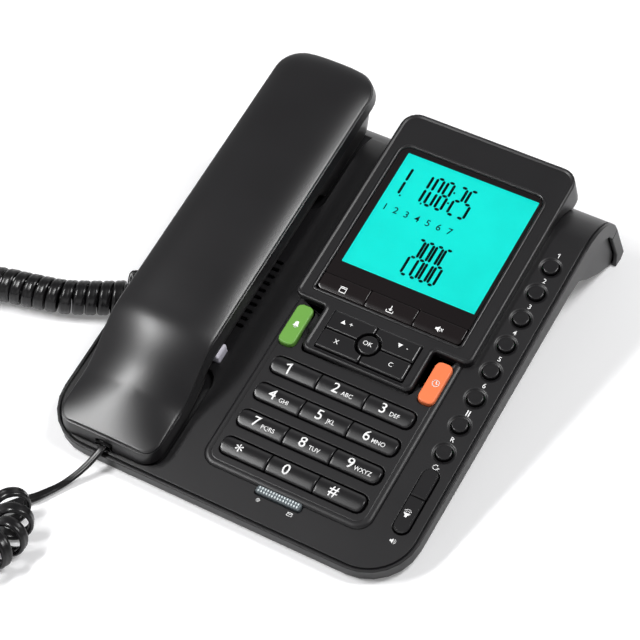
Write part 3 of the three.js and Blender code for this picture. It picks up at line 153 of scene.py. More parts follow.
# Before its edges are rounded, a piece loses shorter edges and, in degrees, flatter ones
SHORT_EDGE = 5e-3
FLAT_ANGLE = 0.6
# A rounded edge never takes a point farther off the piece than this share of its width
THROWN_SHARE = 0.75
# Heights below and above every piece that is cut
BELOW = -20
ABOVE = 20


def linked(name, data):
    """A new object in the scene."""
    made = bpy.data.objects.new(name, data)
    bpy.context.scene.collection.objects.link(made)
    return made


def mesh_piece(name, points, faces):
    """A mesh object with its doubles merged and its faces pointing outwards."""
    mesh = bpy.data.meshes.new(name)
    mesh.from_pydata([tuple(p) for p in points], [], faces)
    work = bmesh.new()
    work.from_mesh(mesh)
    bmesh.ops.remove_doubles(work, verts=work.verts, dist=SAME_POINT)
    bmesh.ops.recalc_face_normals(work, faces=work.faces)
    work.to_mesh(mesh)
    work.free()
    return linked(name, mesh)


def loft_faces(count, rings, closed=False):
    faces = []
    for ring in range(rings if closed else rings - 1):
        for i in range(count):
            near, far = ring * count, (ring + 1) % rings * count
            faces.append((near + i, near + (i + 1) % count, far + (i + 1) % count, far + i))
    return faces


def loft(name, rings, closed=False):
    """Closed piece through rings with equal point counts."""
    count = len(rings[0])
    faces = loft_faces(count, len(rings), closed)
    if not closed:
        last = (len(rings) - 1) * count
        faces += [tuple(range(count)), tuple(range(last, last + count))]
    return mesh_piece(name, [p for ring in rings for p in ring], faces)


def ring_of(outline, height):
    """An outline's points at a height, which may follow the place."""
    return [(p.x, p.y, height(p) if callable(height) else height) for p in outline]


def stack(name, *layers):
    return loft(name, [ring_of(outline, height) for outline, height in layers])


def rounded(corners, steps=5, parts=(1,)):
    """Outline through corners (u, v, radius), each rounded in that many steps. Its straight
    sides are cut into so many parts, one number after the other."""
    points = []
    for i, (u, v, radius) in enumerate(corners):
        here = Vector((u, v))
        back = (Vector(corners[i - 1][:2]) - here).normalized()
        forth = (Vector(corners[(i + 1) % len(corners)][:2]) - here).normalized()
        half = back.angle(forth) / 2
        radius = max(radius, 0.05)
        centre = here + (back + forth).normalized() * (radius / math.sin(half))
        start = here + back * (radius / math.tan(half)) - centre
        end = here + forth * (radius / math.tan(half)) - centre
        sweep = math.atan2(start.x * end.y - start.y * end.x, start.dot(end))
        for step in range(steps + 1):
            points.append(centre + Matrix.Rotation(sweep * step / steps, 2) @ start)
    outline = []
    for i, here in enumerate(points):
        outline.append(here)
        if i % (steps + 1) == steps:
            count = parts[i // (steps + 1) % len(parts)]
            beyond = points[(i + 1) % len(points)]
            outline += [here.lerp(beyond, k / count) for k in range(1, count)]
    return outline


def rectangle(left, right, front, rear, radii, steps=5, parts=(1,)):
    radii = radii if isinstance(radii, (tuple, list)) else [radii] * 4
    places = [(left, front), (right, front), (right, rear), (left, rear)]
    return rounded([(u, v, r) for (u, v), r in zip(places, radii)], steps, parts)


def around(low, high, gap, radii, steps=5, parts=(1,)):
    """A rectangle round a box in plan, so far off it."""
    return rectangle(low.x - gap, high.x + gap, low.y - gap, high.y + gap, radii, steps, parts)


def circle(u, v, diameter, sides=32):
    return [
        Vector((u, v)) + Matrix.Rotation(2 * math.pi * i / sides, 2) @ Vector((diameter / 2, 0))
        for i in range(sides)
    ]


def moved_in(outline, inset):
    """Each point of an outline moved square to it by an inset, which may follow the place."""
    points = []
    for i, here in enumerate(outline):
        way = (outline[(i + 1) % len(outline)] - outline[i - 1]).normalized()
        depth = inset(here) if callable(inset) else inset
        points.append(here + Vector((-way.y, way.x)) * depth)
    return points


def evaluated(made):
    """The mesh that an object's modifiers or its text give."""
    bpy.context.view_layer.update()
    graph = bpy.context.evaluated_depsgraph_get()
    return bpy.data.meshes.new_from_object(made.evaluated_get(graph))


def applied(piece):
    """The piece with its modifiers made part of its mesh."""
    mesh = evaluated(piece)
    piece.modifiers.clear()
    piece.data, old = mesh, piece.data
    bpy.data.meshes.remove(old)
    return piece


def cut(piece, *cutters):
    """The piece with cutters taken from it. The cutters go."""
    for cutter in cutters:
        change = piece.modifiers.new("cut", "BOOLEAN")
        change.object, change.operation, change.solver = cutter, "DIFFERENCE", "MANIFOLD"
    applied(piece)
    for cutter in cutters:
        bpy.data.meshes.remove(cutter.data)
    if not piece.data.polygons:
        raise RuntimeError(f"{piece.name} has no faces left")
    return piece


def shaded(piece, sharp=35):
    piece.data.shade_smooth()
    piece.data.set_sharp_from_angle(angle=math.radians(sharp))
    return piece


def softened(piece, width, segments=3, sharp=30, clamp=True):
    """The piece with its edges rounded, and flat faces that still look flat."""
    work = bmesh.new()
    work.from_mesh(piece.data)
    bmesh.ops.remove_doubles(work, verts=work.verts, dist=SAME_CORNER)
    for _ in range(2):
        bmesh.ops.dissolve_degenerate(work, dist=SHORT_EDGE, edges=work.edges)
        bmesh.ops.dissolve_limit(
            work, angle_limit=math.radians(FLAT_ANGLE), verts=work.verts, edges=work.edges
        )
    before = BVHTree.FromBMesh(work)
    work.to_mesh(piece.data)
    work.free()
    bevel = piece.modifiers.new("edges", "BEVEL")
    bevel.width, bevel.segments = width, segments
    bevel.limit_method, bevel.angle_limit = "ANGLE", math.radians(sharp)
    bevel.use_clamp_overlap = clamp
    bevel.miter_outer = "MITER_ARC"
    bevel.loop_slide = False
    applied(piece)
    # A point that a bevel threw off the piece goes back to its surface
    for vertex in piece.data.vertices:
        place, _, _, off = before.find_nearest(vertex.co)
        if off > THROWN_SHARE * width:
            vertex.co = place
    shaded(piece, 38)
    even = piece.modifiers.new("even", "WEIGHTED_NORMAL")
    even.keep_sharp = True
    return applied(piece)


def node_copy(node):
    """A copy of a frame node's mesh, in the deck's millimetres and with its doubles merged."""
    points = [OFF_DECK @ v.co for v in frame["nodes"][node].data.vertices]
    faces = [tuple(p.vertices) for p in frame["nodes"][node].data.polygons]
    return mesh_piece(node + "_copy", points, faces)


def span(node, above=-math.inf):
    """Lowest and highest (u, v, n) of a node's points that lie above a height off the deck."""
    points = [OFF_DECK @ v.co for v in frame["nodes"][node].data.vertices]
    points = [p for p in points if p.z > above]
    low = Vector([min(p[i] for p in points) for i in range(3)])
    return low, Vector([max(p[i] for p in points) for i in range(3)])


def centre_of(node, above=-math.inf):
    """The middle (u, v) of a node's points that lie above a height off the deck."""
    low, high = span(node, above)
    return (low.x + high.x) / 2, (low.y + high.y) / 2


def settled(piece, name, body, finish, nodes=()):
    """Gives a piece its place in the room, its finish and its body."""
    material, slot = finish_of(finish)
    piece.data.transform(DECK)
    piece.data.update()
    piece.name = piece.data.name = name
    piece.data.materials.clear()
    piece.data.materials.append(material)
    if nodes:
        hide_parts(*nodes)
    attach(piece, body)
    return piece


def finished(node, finish):
    """A frame node that stays, with its finish."""
    material, slot = finish_of(finish)
    kept = frame["nodes"][node]
    kept.data.materials.clear()
    kept.data.materials.append(material)


def add(tree, kind, links=None, **settings):
    """Adds a node with its settings. links gives each input a value or the socket that feeds it."""
    made = tree.nodes.new(kind)
    for key, value in settings.items():
        setattr(made, key, value)
    for place, value in (links or {}).items():
        if isinstance(value, bpy.types.NodeSocket):
            tree.links.new(value, made.inputs[place])
        else:
            made.inputs[place].default_value = value
    return made


def computed(tree, operation, a, b):
    """The socket that gives two values taken together."""
    return add(tree, "ShaderNodeMath", {0: a, 1: b}, operation=operation).outputs[0]


def ranged(tree, value, low, high, start=0, end=1):
    """The socket that goes from low to high while the value goes from start to end."""
    return add(tree, "ShaderNodeMapRange", {
        "Value": value, "From Min": start, "From Max": end, "To Min": low, "To Max": high,
    }).outputs["Result"]


# Finishes

# Each finish: its slot, its colour, its roughness, the size and the relief of its grain in mm, and
# its other values. The colour is a property of FinishColours or an sRGB hex value.
FINISHES = {
    # ABS from a spark-eroded mould: soft broad highlights with a fine even grain
    "textured ABS": ("black_housing", "shell", 0.4, 0.45, 0.012, {"specular": 0.4}),
    # ABS from a stoned mould: smoother than the base, with highlights that fade out evenly
    "satin ABS": ("black_housing", "shell", 0.33, 0.4, 0.004, {}),
    # ABS from a polished mould: the rounded edges of the keys draw crisp light lines
    "polished ABS": ("black_keys", "keys", 0.3, 0.5, 0.003, {}),
    # Black acrylic trim of the soft keys: glossy, with a slightly brown depth
    "gloss black acrylic": ("gloss_trim", "171213", 0.18, 0.8, 0.002, {"specular": 0.35}),
    # Dyed ABS: an even colour with a soft sheen
    "green ABS": ("green_key", "green", 0.38, 0.5, 0.004, {"specular": 0.35}),
    "orange ABS": ("orange_key", "orange", 0.38, 0.5, 0.004, {"specular": 0.35}),
    # Natural ABS of the plunger: a cool white with little gloss
    "white ABS": ("white_plastic", "cfccd8", 0.42, 0.5, 0.004, {}),
    # Extruded soft PVC: black, with narrow bright lines on every curl
    "soft PVC": ("cord", "cord", 0.28, 0.8, 0.01, {"spread": 0.04, "specular": 0.4}),
    # Pressed rubber: dull and dark
    "pressed rubber": ("rubber", "202020", 0.8, 0.6, 0.03, {"specular": 0.3}),
    # Zinc-plated steel: bright metal with a light haze
    "zinc-plated steel": ("steel", "c4c6ca", 0.32, 0.3, 0.004, {"Metallic": 1}),
    # Solder mask over woven glass and copper: green with a fine uneven grain
    "solder-masked glass epoxy": ("circuit_board", "1f5a34", 0.35, 0.9, 0.02, {}),
    # Moulded silicone of the keypad mat: grey and matt
    "moulded silicone": ("rubber", "5c5f63", 0.6, 0.7, 0.01, {}),
    # Anodised aluminium cans of the sound capsules: a soft grey metal
    "anodised aluminium": ("capsule", "8d9095", 0.4, 0.3, 0.005, {"Metallic": 1}),
    # Clear polycarbonate: see-through, with sharp small reflections
    "clear polycarbonate": ("clear_plastic", "f4fafa", 0.05, 1.5, 0.001, {
        "spread": 0.02, "Transmission Weight": 1, "IOR": 1.58,
    }),
    # Cast acrylic of the display window: clear, with hardly a reflection
    "clear acrylic": ("clear_window", "ffffff", 0.03, 2, 0.0005, {
        "spread": 0.02, "specular": 0.2, "Transmission Weight": 1, "IOR": 1.13,
    }),
    # Clear ribs over the lamp, painted pale all over: a painted highlight for the bright light on
    # each rib, with a real gloss
    "frosted polycarbonate": ("clear_plastic", "d3dcde", 0.2, 1.2, 0.003, {}),
    # Clear lens over the dark lamp: grey between the bright ribs
    "smoked polycarbonate": ("clear_plastic", "5a6165", 0.15, 1.2, 0.003, {}),
    # Black print round the display's glass: a deep, slightly brown black with a polish
    "screen-printed black": ("lcd", "161213", 0.2, 1, 0.001, {"specular": 0.25}),
    # Pad-printed ink: flat, opaque and a little matt
    "pad-printed ink": ("white_plastic", "ink", 0.5, 0.3, 0.002, {"specular": 0.2}),
    # Switched liquid crystal: a black that lets no back light through
    "switched crystal": ("lcd", "06110f", 0.3, 0.5, 0.001, {"specular": 0.1}),
    # Back-lit liquid crystal glass: an even cyan glow
    "back-lit glass": ("lcd", "light", 0.3, 0.6, 0.001, {"specular": 0.1, "glow": 0.88}),
}
# Size in mm of the clouds over which tint and gloss change, and how much the tint changes
CLOUD = 40
TINT_CHANGE = 0.1
# The share of its light's colour that a glowing glass has when it is dark
GLASS_BODY = 0.1


def moulded(name, tone, roughness, grain, relief, spread=0.05, specular=0.5, glow=0, **inputs):
    """A material with that grain, and with a slow change of tint and gloss over its clouds."""
    material = bpy.data.materials.new(name)
    material.use_nodes = True
    tree = material.node_tree
    shader = tree.nodes["Principled BSDF"]
    if glow:
        inputs.update({"Emission Color": (*tone, 1), "Emission Strength": glow})
        tone = [c * GLASS_BODY for c in tone]
    place = add(tree, "ShaderNodeTexCoord").outputs["Object"]
    fine, slow = [
        add(tree, "ShaderNodeTexNoise", {
            "Vector": place, "Scale": 1 / (size * MM), "Detail": detail,
        }).outputs["Fac"]
        for size, detail in ((grain, 3), (CLOUD, 2))
    ]
    tint = add(tree, "ShaderNodeMix", {
        "Factor": slow, "A": (*[c * (1 - TINT_CHANGE) for c in tone], 1),
        "B": (*[c * (1 + TINT_CHANGE) for c in tone], 1),
    }, data_type="RGBA")
    bump = add(tree, "ShaderNodeBump", {"Height": fine, "Distance": relief * MM, "Strength": 1})
    tree.links.new(tint.outputs["Result"], shader.inputs["Base Color"])
    gloss = ranged(tree, slow, roughness - spread, roughness + spread)
    tree.links.new(gloss, shader.inputs["Roughness"])
    tree.links.new(bump.outputs["Normal"], shader.inputs["Normal"])
    for socket, value in {"Specular IOR Level": specular, **inputs}.items():
        shader.inputs[socket].default_value = value
    return material


def finish_of(name):
    """The material of a finish, and its slot."""
    slot, tone, roughness, grain, relief, values = FINISHES[name]
    if name not in bpy.data.materials:
        colours = bpy.context.scene.telephone_colours
        tone = getattr(colours, tone) if hasattr(colours, tone) else linear(tone)
        moulded(name, tone, roughness, grain, relief, **values)
    return bpy.data.materials[name], slot


# Stage

# Soft boxes: what each aims at, its place, its width and height, all in mm, its power in W and its
# turn about its own axis in degrees
MIDDLE = (-20, 0, 20)
MOUTHPIECE = (-60, -80, 50)
SOFT_BOXES = {
    "right soft box": (MIDDLE, (465, 240, 925), (240, 420), 7, 0),
    "left strip": (MOUTHPIECE, (-515, -390, 830), (130, 470), 8.5, 64),
    "front soft box": (MIDDLE, (300, -1100, 520), (900, 500), 1, 0),
    "rear soft box": (MIDDLE, (-350, 1100, 700), (900, 500), 1, 0),
}
# The surroundings' light on the object, where 1 is white, and the share of it that is left at the
# ceiling, which starts at that height over the horizon
WALL_LIGHT = 0.42
CEILING_SHARE = 0.25
CEILING_HEIGHT = 0.5
# In m: half the floor's side, and how far from its middle its own light starts and ends to grow
FLOOR_HALF = 3
GLOW_START = 0.3
GLOW_END = 1
NEAR_GLOW = 0.18
FLOOR_COLOUR = (0.86, 0.86, 0.87, 1)


def soft_box(name, aim, place, size, power, turn):
    """A rectangular soft box at place, turned to aim and about its own axis."""
    data = bpy.data.lights.new(name, "AREA")
    data.shape, data.size, data.size_y = "RECTANGLE", size[0] * MM, size[1] * MM
    data.energy = power
    lamp = linked(name, data)
    lamp.location = Vector(place) * MM
    way = (Vector(aim) - Vector(place)).normalized()
    spin = Matrix.Rotation(math.radians(turn), 3, "Z")
    lamp.rotation_euler = (way.to_track_quat("-Z", "Y").to_matrix() @ spin).to_euler()


class TELEPHONE_OT_stage(bpy.types.Operator):
    """Sets the camera, the soft boxes, the pale floor and the white surroundings"""

    bl_idname = "telephone.stage"
    bl_label = "Stage"

    def execute(self, context):
        scene = context.scene
        scene.view_settings.view_transform = "Standard"
        azimuth, elevation = math.radians(VIEW_AZIMUTH), math.radians(VIEW_ELEVATION)
        back = Vector((
            math.sin(azimuth) * math.cos(elevation), -math.cos(azimuth) * math.cos(elevation),
            math.sin(elevation),
        ))
        camera = linked("camera", bpy.data.cameras.new("camera"))
        camera.data.lens, camera.data.sensor_width = VIEW_LENS, VIEW_SENSOR
        camera.location = (Vector(VIEW_TARGET) + back * VIEW_DISTANCE) * MM
        camera.rotation_euler = (-back).to_track_quat("-Z", "Y").to_euler()
        scene.camera = camera
        for name, values in SOFT_BOXES.items():
            soft_box(name, *values)
        self.surroundings(scene)
        self.floor()
        return {"FINISHED"}

    def seen(self, tree):
        """The light path, and 1 where a surface is looked at straight, in a gloss or in glass."""
        path = add(tree, "ShaderNodeLightPath")
        seen = path.outputs["Is Camera Ray"]
        for kind in ("Is Glossy Ray", "Is Transmission Ray"):
            seen = computed(tree, "MAXIMUM", seen, path.outputs[kind])
        return path, seen

    def surroundings(self, scene):
        world = bpy.data.worlds.new("white surroundings")
        scene.world = world
        world.use_nodes = True
        tree = world.node_tree
        path, seen = self.seen(tree)
        strength = ranged(tree, seen, WALL_LIGHT, 1)
        # Round the object the walls are white and the ceiling is dim, so that dark plastic keeps
        # its colour. The background itself is plain white at every height.
        place = add(tree, "ShaderNodeTexCoord").outputs["Generated"]
        height = add(tree, "ShaderNodeSeparateXYZ", {"Vector": place}).outputs["Z"]
        ceiling = ranged(tree, height, 1, CEILING_SHARE, 0, CEILING_HEIGHT)
        plain = computed(tree, "MAXIMUM", ceiling, path.outputs["Is Camera Ray"])
        background = tree.nodes["Background"].inputs
        background["Color"].default_value = (1, 1, 1, 1)
        tree.links.new(computed(tree, "MULTIPLY", strength, plain), background["Strength"])

    def floor(self):
        half = FLOOR_HALF
        mesh = bpy.data.meshes.new("floor")
        corners = [(-half, -half, 0), (half, -half, 0), (half, half, 0), (-half, half, 0)]
        mesh.from_pydata(corners, [], [(0, 1, 2, 3)])
        floor = linked("floor", mesh)
        # White laminate: a bright, even floor that shows the soft shadow of the object
        material = bpy.data.materials.new("white laminate")
        material.use_nodes = True
        tree = material.node_tree
        inputs = tree.nodes["Principled BSDF"].inputs
        inputs["Base Color"].default_value = FLOOR_COLOUR
        inputs["Roughness"].default_value = 0.6
        inputs["Specular IOR Level"].default_value = 0.1
        # Far from the object the floor runs out of lamp light, so there it is white by itself
        place = add(tree, "ShaderNodeTexCoord").outputs["Object"]
        away = add(tree, "ShaderNodeVectorMath", {0: place}, operation="LENGTH")
        glow = ranged(tree, away.outputs["Value"], NEAR_GLOW, 1, GLOW_START, GLOW_END)
        inputs["Emission Color"].default_value = (1, 1, 1, 1)
        glow = computed(tree, "MULTIPLY", glow, self.seen(tree)[1])
        tree.links.new(glow, inputs["Emission Strength"])
        mesh.materials.append(material)


# Cord

# The coil's centre line and its height, and the free end at the handset. Each y is counted from
# the deck's front edge.
CURL_HEIGHT = 8.6
CURL_ROUTE = [
    (-93.5, 82.5), (-98, 79.5), (-103.5, 76.3), (-110, 72.8), (-120, 68), (-135.5, 63.8),
    (-150.5, 59.8), (-172, 47), (-187, 26), (-192, 0), (-186, -26), (-170, -50), (-147, -69),
    (-119, -81), (-93, -84), (-74, -77.5), (-64.5, -67), (-62.5, -55.5), (-67, -45.5),
    (-75.5, -39),
]
HANDSET_TAIL = [
    (-68.2, -29.2, 2.2), (-65.4, -24.4, 2.3), (-62.6, -19, 2.4), (-60, -13.5, 3.6),
    (-57.2, -7.5, 6.2), (-55.3, -1.8, 9),
]
# The free end at the base: the place of its bend, and how far that lies below the plug
BASE_BEND = (-93, 86.5)
BASE_DROP = 0.6
# How far from a plug the wire starts, and how far it then runs straight on
PLUG_GAP = 0.3
PLUG_LEAD = 1.7
# The coil: least gap between curls, size of a curl's wire in the frame, part of a curl at its end,
# where its loose part starts, and how tight it may bend
CURL_GAP = 0.6
CAD_CURL_WIDTH = 4.3
CAD_CORD_THICK = 2.4
CURL_END_SHARE = 0.25
LOOSE_START = 0.75
TIGHTEST_BEND = 0.6
ROUTE_SAMPLES = 400
STEPS_A_CURL = 28
STEPS_A_TAIL = 8
# The free ends' share of the coil's thickness
TAIL_SHARE = 0.64
# The wire's section: sides, squareness and width of its groove
SECTION_SIDES = 24
SECTION_POWER = 0.88
GROOVE_SHARE = 0.14


def smooth(value, low, high):
    share = min(max((value - low) / (high - low), 0), 1)
    return share * share * (3 - 2 * share)


def curve_through(points, steps=24):
    """Places along the centripetal curve through the points."""
    ends = [points[0] * 2 - points[1], *points, points[-1] * 2 - points[-2]]
    line = []
    for before, here, beyond, after in zip(ends, ends[1:], ends[2:], ends[3:]):
        t0, t1, t2 = [math.sqrt((b - a).length) for a, b in
                      ((before, here), (here, beyond), (beyond, after))]
        out = ((here - before) / t0 - (beyond - before) / (t0 + t1) + (beyond - here) / t1) * t1
        into = ((beyond - here) / t1 - (after - here) / (t1 + t2) + (after - beyond) / t2) * t1
        for step in range(steps):
            t = step / steps
            line.append(
                here * (2 * t ** 3 - 3 * t ** 2 + 1) + out * (t ** 3 - 2 * t ** 2 + t)
                + beyond * (3 * t ** 2 - 2 * t ** 3) + into * (t ** 3 - t ** 2)
            )
    return [*line, points[-1]]


class Route:
    """A line of places that can be read at any share of its length."""

    def __init__(self, line):
        self.line = line
        self.along = [0]
        for a, b in zip(line, line[1:]):
            self.along.append(self.along[-1] + (b - a).length)
        self.length = self.along[-1]

    def at(self, share):
        wanted = min(max(share, 0), 1) * self.length
        low, high = 0, len(self.along) - 1
        while high - low > 1:
            middle = (low + high) // 2
            low, high = (middle, high) if self.along[middle] <= wanted else (low, middle)
        inside = (wanted - self.along[low]) / max(self.along[high] - self.along[low], 1e-9)
        return self.line[low].lerp(self.line[high], inside)

    def heading(self, share, reach=0.002):
        return (self.at(share + reach) - self.at(share - reach)).normalized()


def from_deck(places):
    """Places whose y is counted from the deck's front edge, as vectors in the room."""
    return [Vector(p) + Vector((0, DECK_FRONT, 0)) for p in places]


def way_at(line, i):
    """The way along a line at its place i."""
    return (line[min(i + 1, len(line) - 1)] - line[max(i - 1, 0)]).normalized()


def coil_line(sizes):
    """The coil's places and, at each, the way along the coil."""
    route = Route(curve_through(from_deck([(x, y, CURL_HEIGHT) for x, y in CURL_ROUTE])))
    samples = ROUTE_SAMPLES
    radius = sizes.radius / MM
    reach = radius + CAD_CORD_THICK / 2
    turns = [0]
    for i in range(samples):
        share = (i + 0.5) / samples
        low, high = [min(max(share + k / samples, 0), 1) for k in (-2, 2)]
        bend = route.heading(low).angle(route.heading(high)) / (high - low) / route.length
        loose = sizes.pitch + (sizes.loose - sizes.pitch) * smooth(share, LOOSE_START, 1)
        closed = (CAD_CURL_WIDTH + CURL_GAP) / (1 - min(bend * reach, TIGHTEST_BEND))
        turns.append(turns[-1] + route.length / samples / max(loose / MM, closed))
    whole = math.floor(turns[-1]) + CURL_END_SHARE
    count = round(whole * STEPS_A_CURL)
    places, ways, sample = [], [], 0
    for step in range(count + 1):
        wanted = turns[-1] * step / count
        while sample < samples - 1 and turns[sample + 1] < wanted:
            sample += 1
        inside = (wanted - turns[sample]) / (turns[sample + 1] - turns[sample])
        share = (sample + inside) / samples
        way = route.heading(share)
        side = Vector((0, 0, 1)).cross(way).normalized()
        lift = way.cross(side).normalized()
        angle = -2 * math.pi * whole * step / count
        places.append(route.at(share) + (side * math.cos(angle) + lift * math.sin(angle)) * radius)
        ways.append(way)
    return places, ways


def section(width, thick, groove):
    """Section of the flat cord: two round halves with a groove between them on both faces."""
    points = []
    for i in range(SECTION_SIDES):
        angle = 2 * math.pi * i / SECTION_SIDES
        x = math.copysign(abs(math.cos(angle)) ** SECTION_POWER, math.cos(angle)) * width / 2
        y = math.copysign(abs(math.sin(angle)) ** SECTION_POWER, math.sin(angle)) * thick / 2
        dent = groove * math.exp(-(x / (width * GROOVE_SHARE)) ** 2)
        points.append((x, y - math.copysign(dent, y)))
    return points


class TELEPHONE_OT_cord(bpy.types.Operator):
    """Makes the curly cord from the base's plug to the handset's plug"""

    bl_idname = "telephone.cord"
    bl_label = "Curly cord"

    def execute(self, context):
        sizes = context.scene.telephone_cord
        flat = Matrix.Scale(1 / MM, 4) @ DECK
        low, high = span("base_plug")
        middle = (low + high) / 2
        start = flat @ Vector((low.x - PLUG_GAP, middle.y, middle.z))
        low, high = span("handset_plug")
        middle = (low + high) / 2
        end = flat @ Vector((middle.x, low.y - PLUG_GAP, middle.z))

        coil, ways = coil_line(sizes)
        first = coil[0] + (coil[0] - coil[1]).normalized() * CAD_CURL_WIDTH
        last = coil[-1] + (coil[-1] - coil[-2]).normalized() * CAD_CURL_WIDTH
        lead = Vector((-PLUG_LEAD, 0, 0))
        bend = from_deck([(*BASE_BEND, start.z - BASE_DROP)])
        head = curve_through([start, start + lead, *bend, first, coil[0]], STEPS_A_TAIL)
        lead = Vector((0, -math.cos(TILT), -math.sin(TILT))) * PLUG_LEAD
        tail = [coil[-1], last, *from_deck(HANDSET_TAIL), end + lead, end]
        tail = curve_through(tail, STEPS_A_TAIL)

        line = [*head[:-1], *coil, *tail[1:]]
        across = [*[ways[0]] * (len(head) - 1), *ways, *[ways[-1]] * (len(tail) - 1)]
        outline = section(sizes.width / MM, sizes.thick / MM, sizes.groove / MM)
        rings = []
        for i, here in enumerate(line):
            # Away from the coil a free end turns its flat side down and grows slimmer. The share
            # is 0 at the plug and 1 at the coil.
            share, flat_share = 1, 0
            if i < len(head):
                share = i / len(head)
                flat_share = 1 - smooth(share, 0.7, 1)
            elif i > len(line) - len(tail):
                share = (len(line) - 1 - i) / len(tail)
                flat_share = smooth((i - len(line) + len(tail)) / len(tail), 0, 0.3)
            way, side = way_at(line, i), across[i]
            if flat_share:
                level = way.cross(Vector((0, 0, 1))).normalized()
                side = side.lerp(level if level.dot(side) >= 0 else -level, flat_share)
            wide = (side - way * side.dot(way)).normalized()
            out = way.cross(wide).normalized()
            slim = TAIL_SHARE + (1 - TAIL_SHARE) * smooth(share, 0.5, 1)
            rings.append([here + (wide * x + out * y) * slim for x, y in outline])
        cord = loft("cord", rings)
        cord.data.transform(Matrix.Scale(MM, 4))
        shaded(cord, 60)
        cord.name = cord.data.name = "curly_lead"
        cord.data.materials.append(finish_of("soft PVC")[0])
        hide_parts("curly_cord", "base_cord_tail", "handset_cord_tail")
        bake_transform(cord)
        return {"FINISHED"}


# Handset

HANDSET_CENTRE = sum(corner.x for corner in span("handset_outer_shell")) / 2
HANDSET_NEAR = 5.4
HANDSET_LENGTH = 207.8
# Half the width at the crease, which is the upper edge of the sides, and how far the rim, their
# lower edge, stands out from it at the sides, at the ends and in the corners' radius
CREASE_HALF = 24.4
SIDE_FLARE = 0.8
END_FLARE = 2.2
CORNER_FLARE = 1.5
NEAR_CORNER = 7
FAR_CORNER = 13
# Heights over the mouthpiece and over the rest, with the bend between them
BEND_START = 22
BEND_LENGTH = 34
CREASE_HEIGHTS = (8.4, 20)
RIM_HEIGHTS = (0.9, 13.5)
# The back swells over the mouthpiece, and its ends keep these shares of the swell
MOUTH_SWELL = 1.5
MOUTH_RUN = 28
MOUTH_POWER = 1.35
SWELL_END = 61.6
NEAR_SHARE = 0.06
FAR_RUN = 22
FAR_SHARE = 0.2
# Across, it is arched: roundly over the mouthpiece and flatter over the handle
MOUTH_ARCH = 2
HANDLE_ARCH = 3
ARCH_START = 42
ARCH_END = 84
# The outer shell's side round its dark line, from below: share of the way out to the rim, how many
# seams down and how many seam depths in
SEAM_PROFILE = (
    (0.3, 2.2, 0), (0.28, 2, 0), (0.26, 1.9, 1), (0.24, 1.1, 1), (0.04, 1, 0), (0, 0.6, 0),
)
# The rings of the back and of the underside: shares of the way in to the middle line
COVER_SHARES = (0.02, 0.05, 0.09, 0.14, 0.2, 0.28, 0.38, 0.5, 0.64, 0.8, 1)
# The inner shell's underside: heights of mouthpiece, handle and earpiece, and where they meet
UNDER_HEIGHTS = (-1.9, 6, -6)
MOUTH_CUP_END = 41
EAR_CUP_START = 147
CUP_SLOPE = 9
# How far the inner shell's ends stand back, its sides are tucked in and its rim lies lower than
# the outer shell's, and its sides' draft and chamfer
INNER_INSET = 2.6
SHELL_TUCK = 0.8
SHELL_GAP = 0.3
SHELL_DRAFT_SHARE = 0.18
SHELL_CHAMFER = 1.5
# Sound holes: their diameter and depth and, for each place along the handset, the number of holes
# and the radius of its rings
SOUND_HOLE = 1.8
SOUND_HOLE_DEPTH = 9
SOUND_RINGS = {177: ((1, 0), (6, 5), (12, 10)), 28: ((1, 0), (6, 2.5))}
# Room round the plug and the screw
PLUG_ROOM = 0.35
SCREW_ROOM = 0.3


def handset_height(pair, v):
    """A height that bends from the first of the pair over the mouthpiece to the second."""
    return pair[0] + (pair[1] - pair[0]) * smooth(
        v - HANDSET_NEAR, BEND_START, BEND_START + BEND_LENGTH
    )


def handset_plan(side, end, corner, inset=0):
    """Plan of the handset: its edge flared at the sides and ends, or drawn in by an inset."""
    half = CREASE_HALF + side - inset
    near = HANDSET_NEAR - end + inset
    far = HANDSET_NEAR + HANDSET_LENGTH + end - inset
    radii = [max(NEAR_CORNER + corner - inset, 1)] * 2 + [max(FAR_CORNER + corner - inset, 1)] * 2
    return rectangle(-half, half, near, far, radii, 9, (14, 76))


def drawn_in(outline, share):
    """The outline's points moved by a share of the way to the handset's middle line."""
    near = HANDSET_NEAR + CREASE_HALF
    far = HANDSET_NEAR + HANDSET_LENGTH - CREASE_HALF
    return [p.lerp(Vector((0, min(max(p.y, near), far))), share) for p in outline]


def half_width(v):
    """Half the handset's width at its edge, which is less in the corners."""
    for corner, reach in ((NEAR_CORNER, v - HANDSET_NEAR),
                          (FAR_CORNER, HANDSET_NEAR + HANDSET_LENGTH - v)):
        if reach < corner:
            reach = max(reach, 0)
            return CREASE_HALF - corner + math.sqrt(corner ** 2 - (corner - reach) ** 2)
    return CREASE_HALF


def crowned(crown, drop=0):
    """Height of the back: arched across, and swelling over the mouthpiece to its near end."""
    def height(p):
        near = max(p.y - HANDSET_NEAR, 0)
        far = min(max(HANDSET_NEAR + HANDSET_LENGTH - p.y, 0) / FAR_RUN, 1)
        swell = crown + MOUTH_SWELL * (1 - smooth(near, MOUTH_RUN, SWELL_END))
        rise = 1 - (1 - min(near / MOUTH_RUN, 1)) ** MOUTH_POWER
        swell *= NEAR_SHARE + (1 - NEAR_SHARE) * rise
        swell *= FAR_SHARE + (1 - FAR_SHARE) * math.sqrt(1 - (1 - far) ** 2)
        share = min(abs(p.x) / half_width(p.y), 1)
        arch = MOUTH_ARCH + (HANDLE_ARCH - MOUTH_ARCH) * smooth(near, ARCH_START, ARCH_END)
        return handset_height(CREASE_HEIGHTS, p.y) + swell * (1 - share ** arch) - drop
    return height


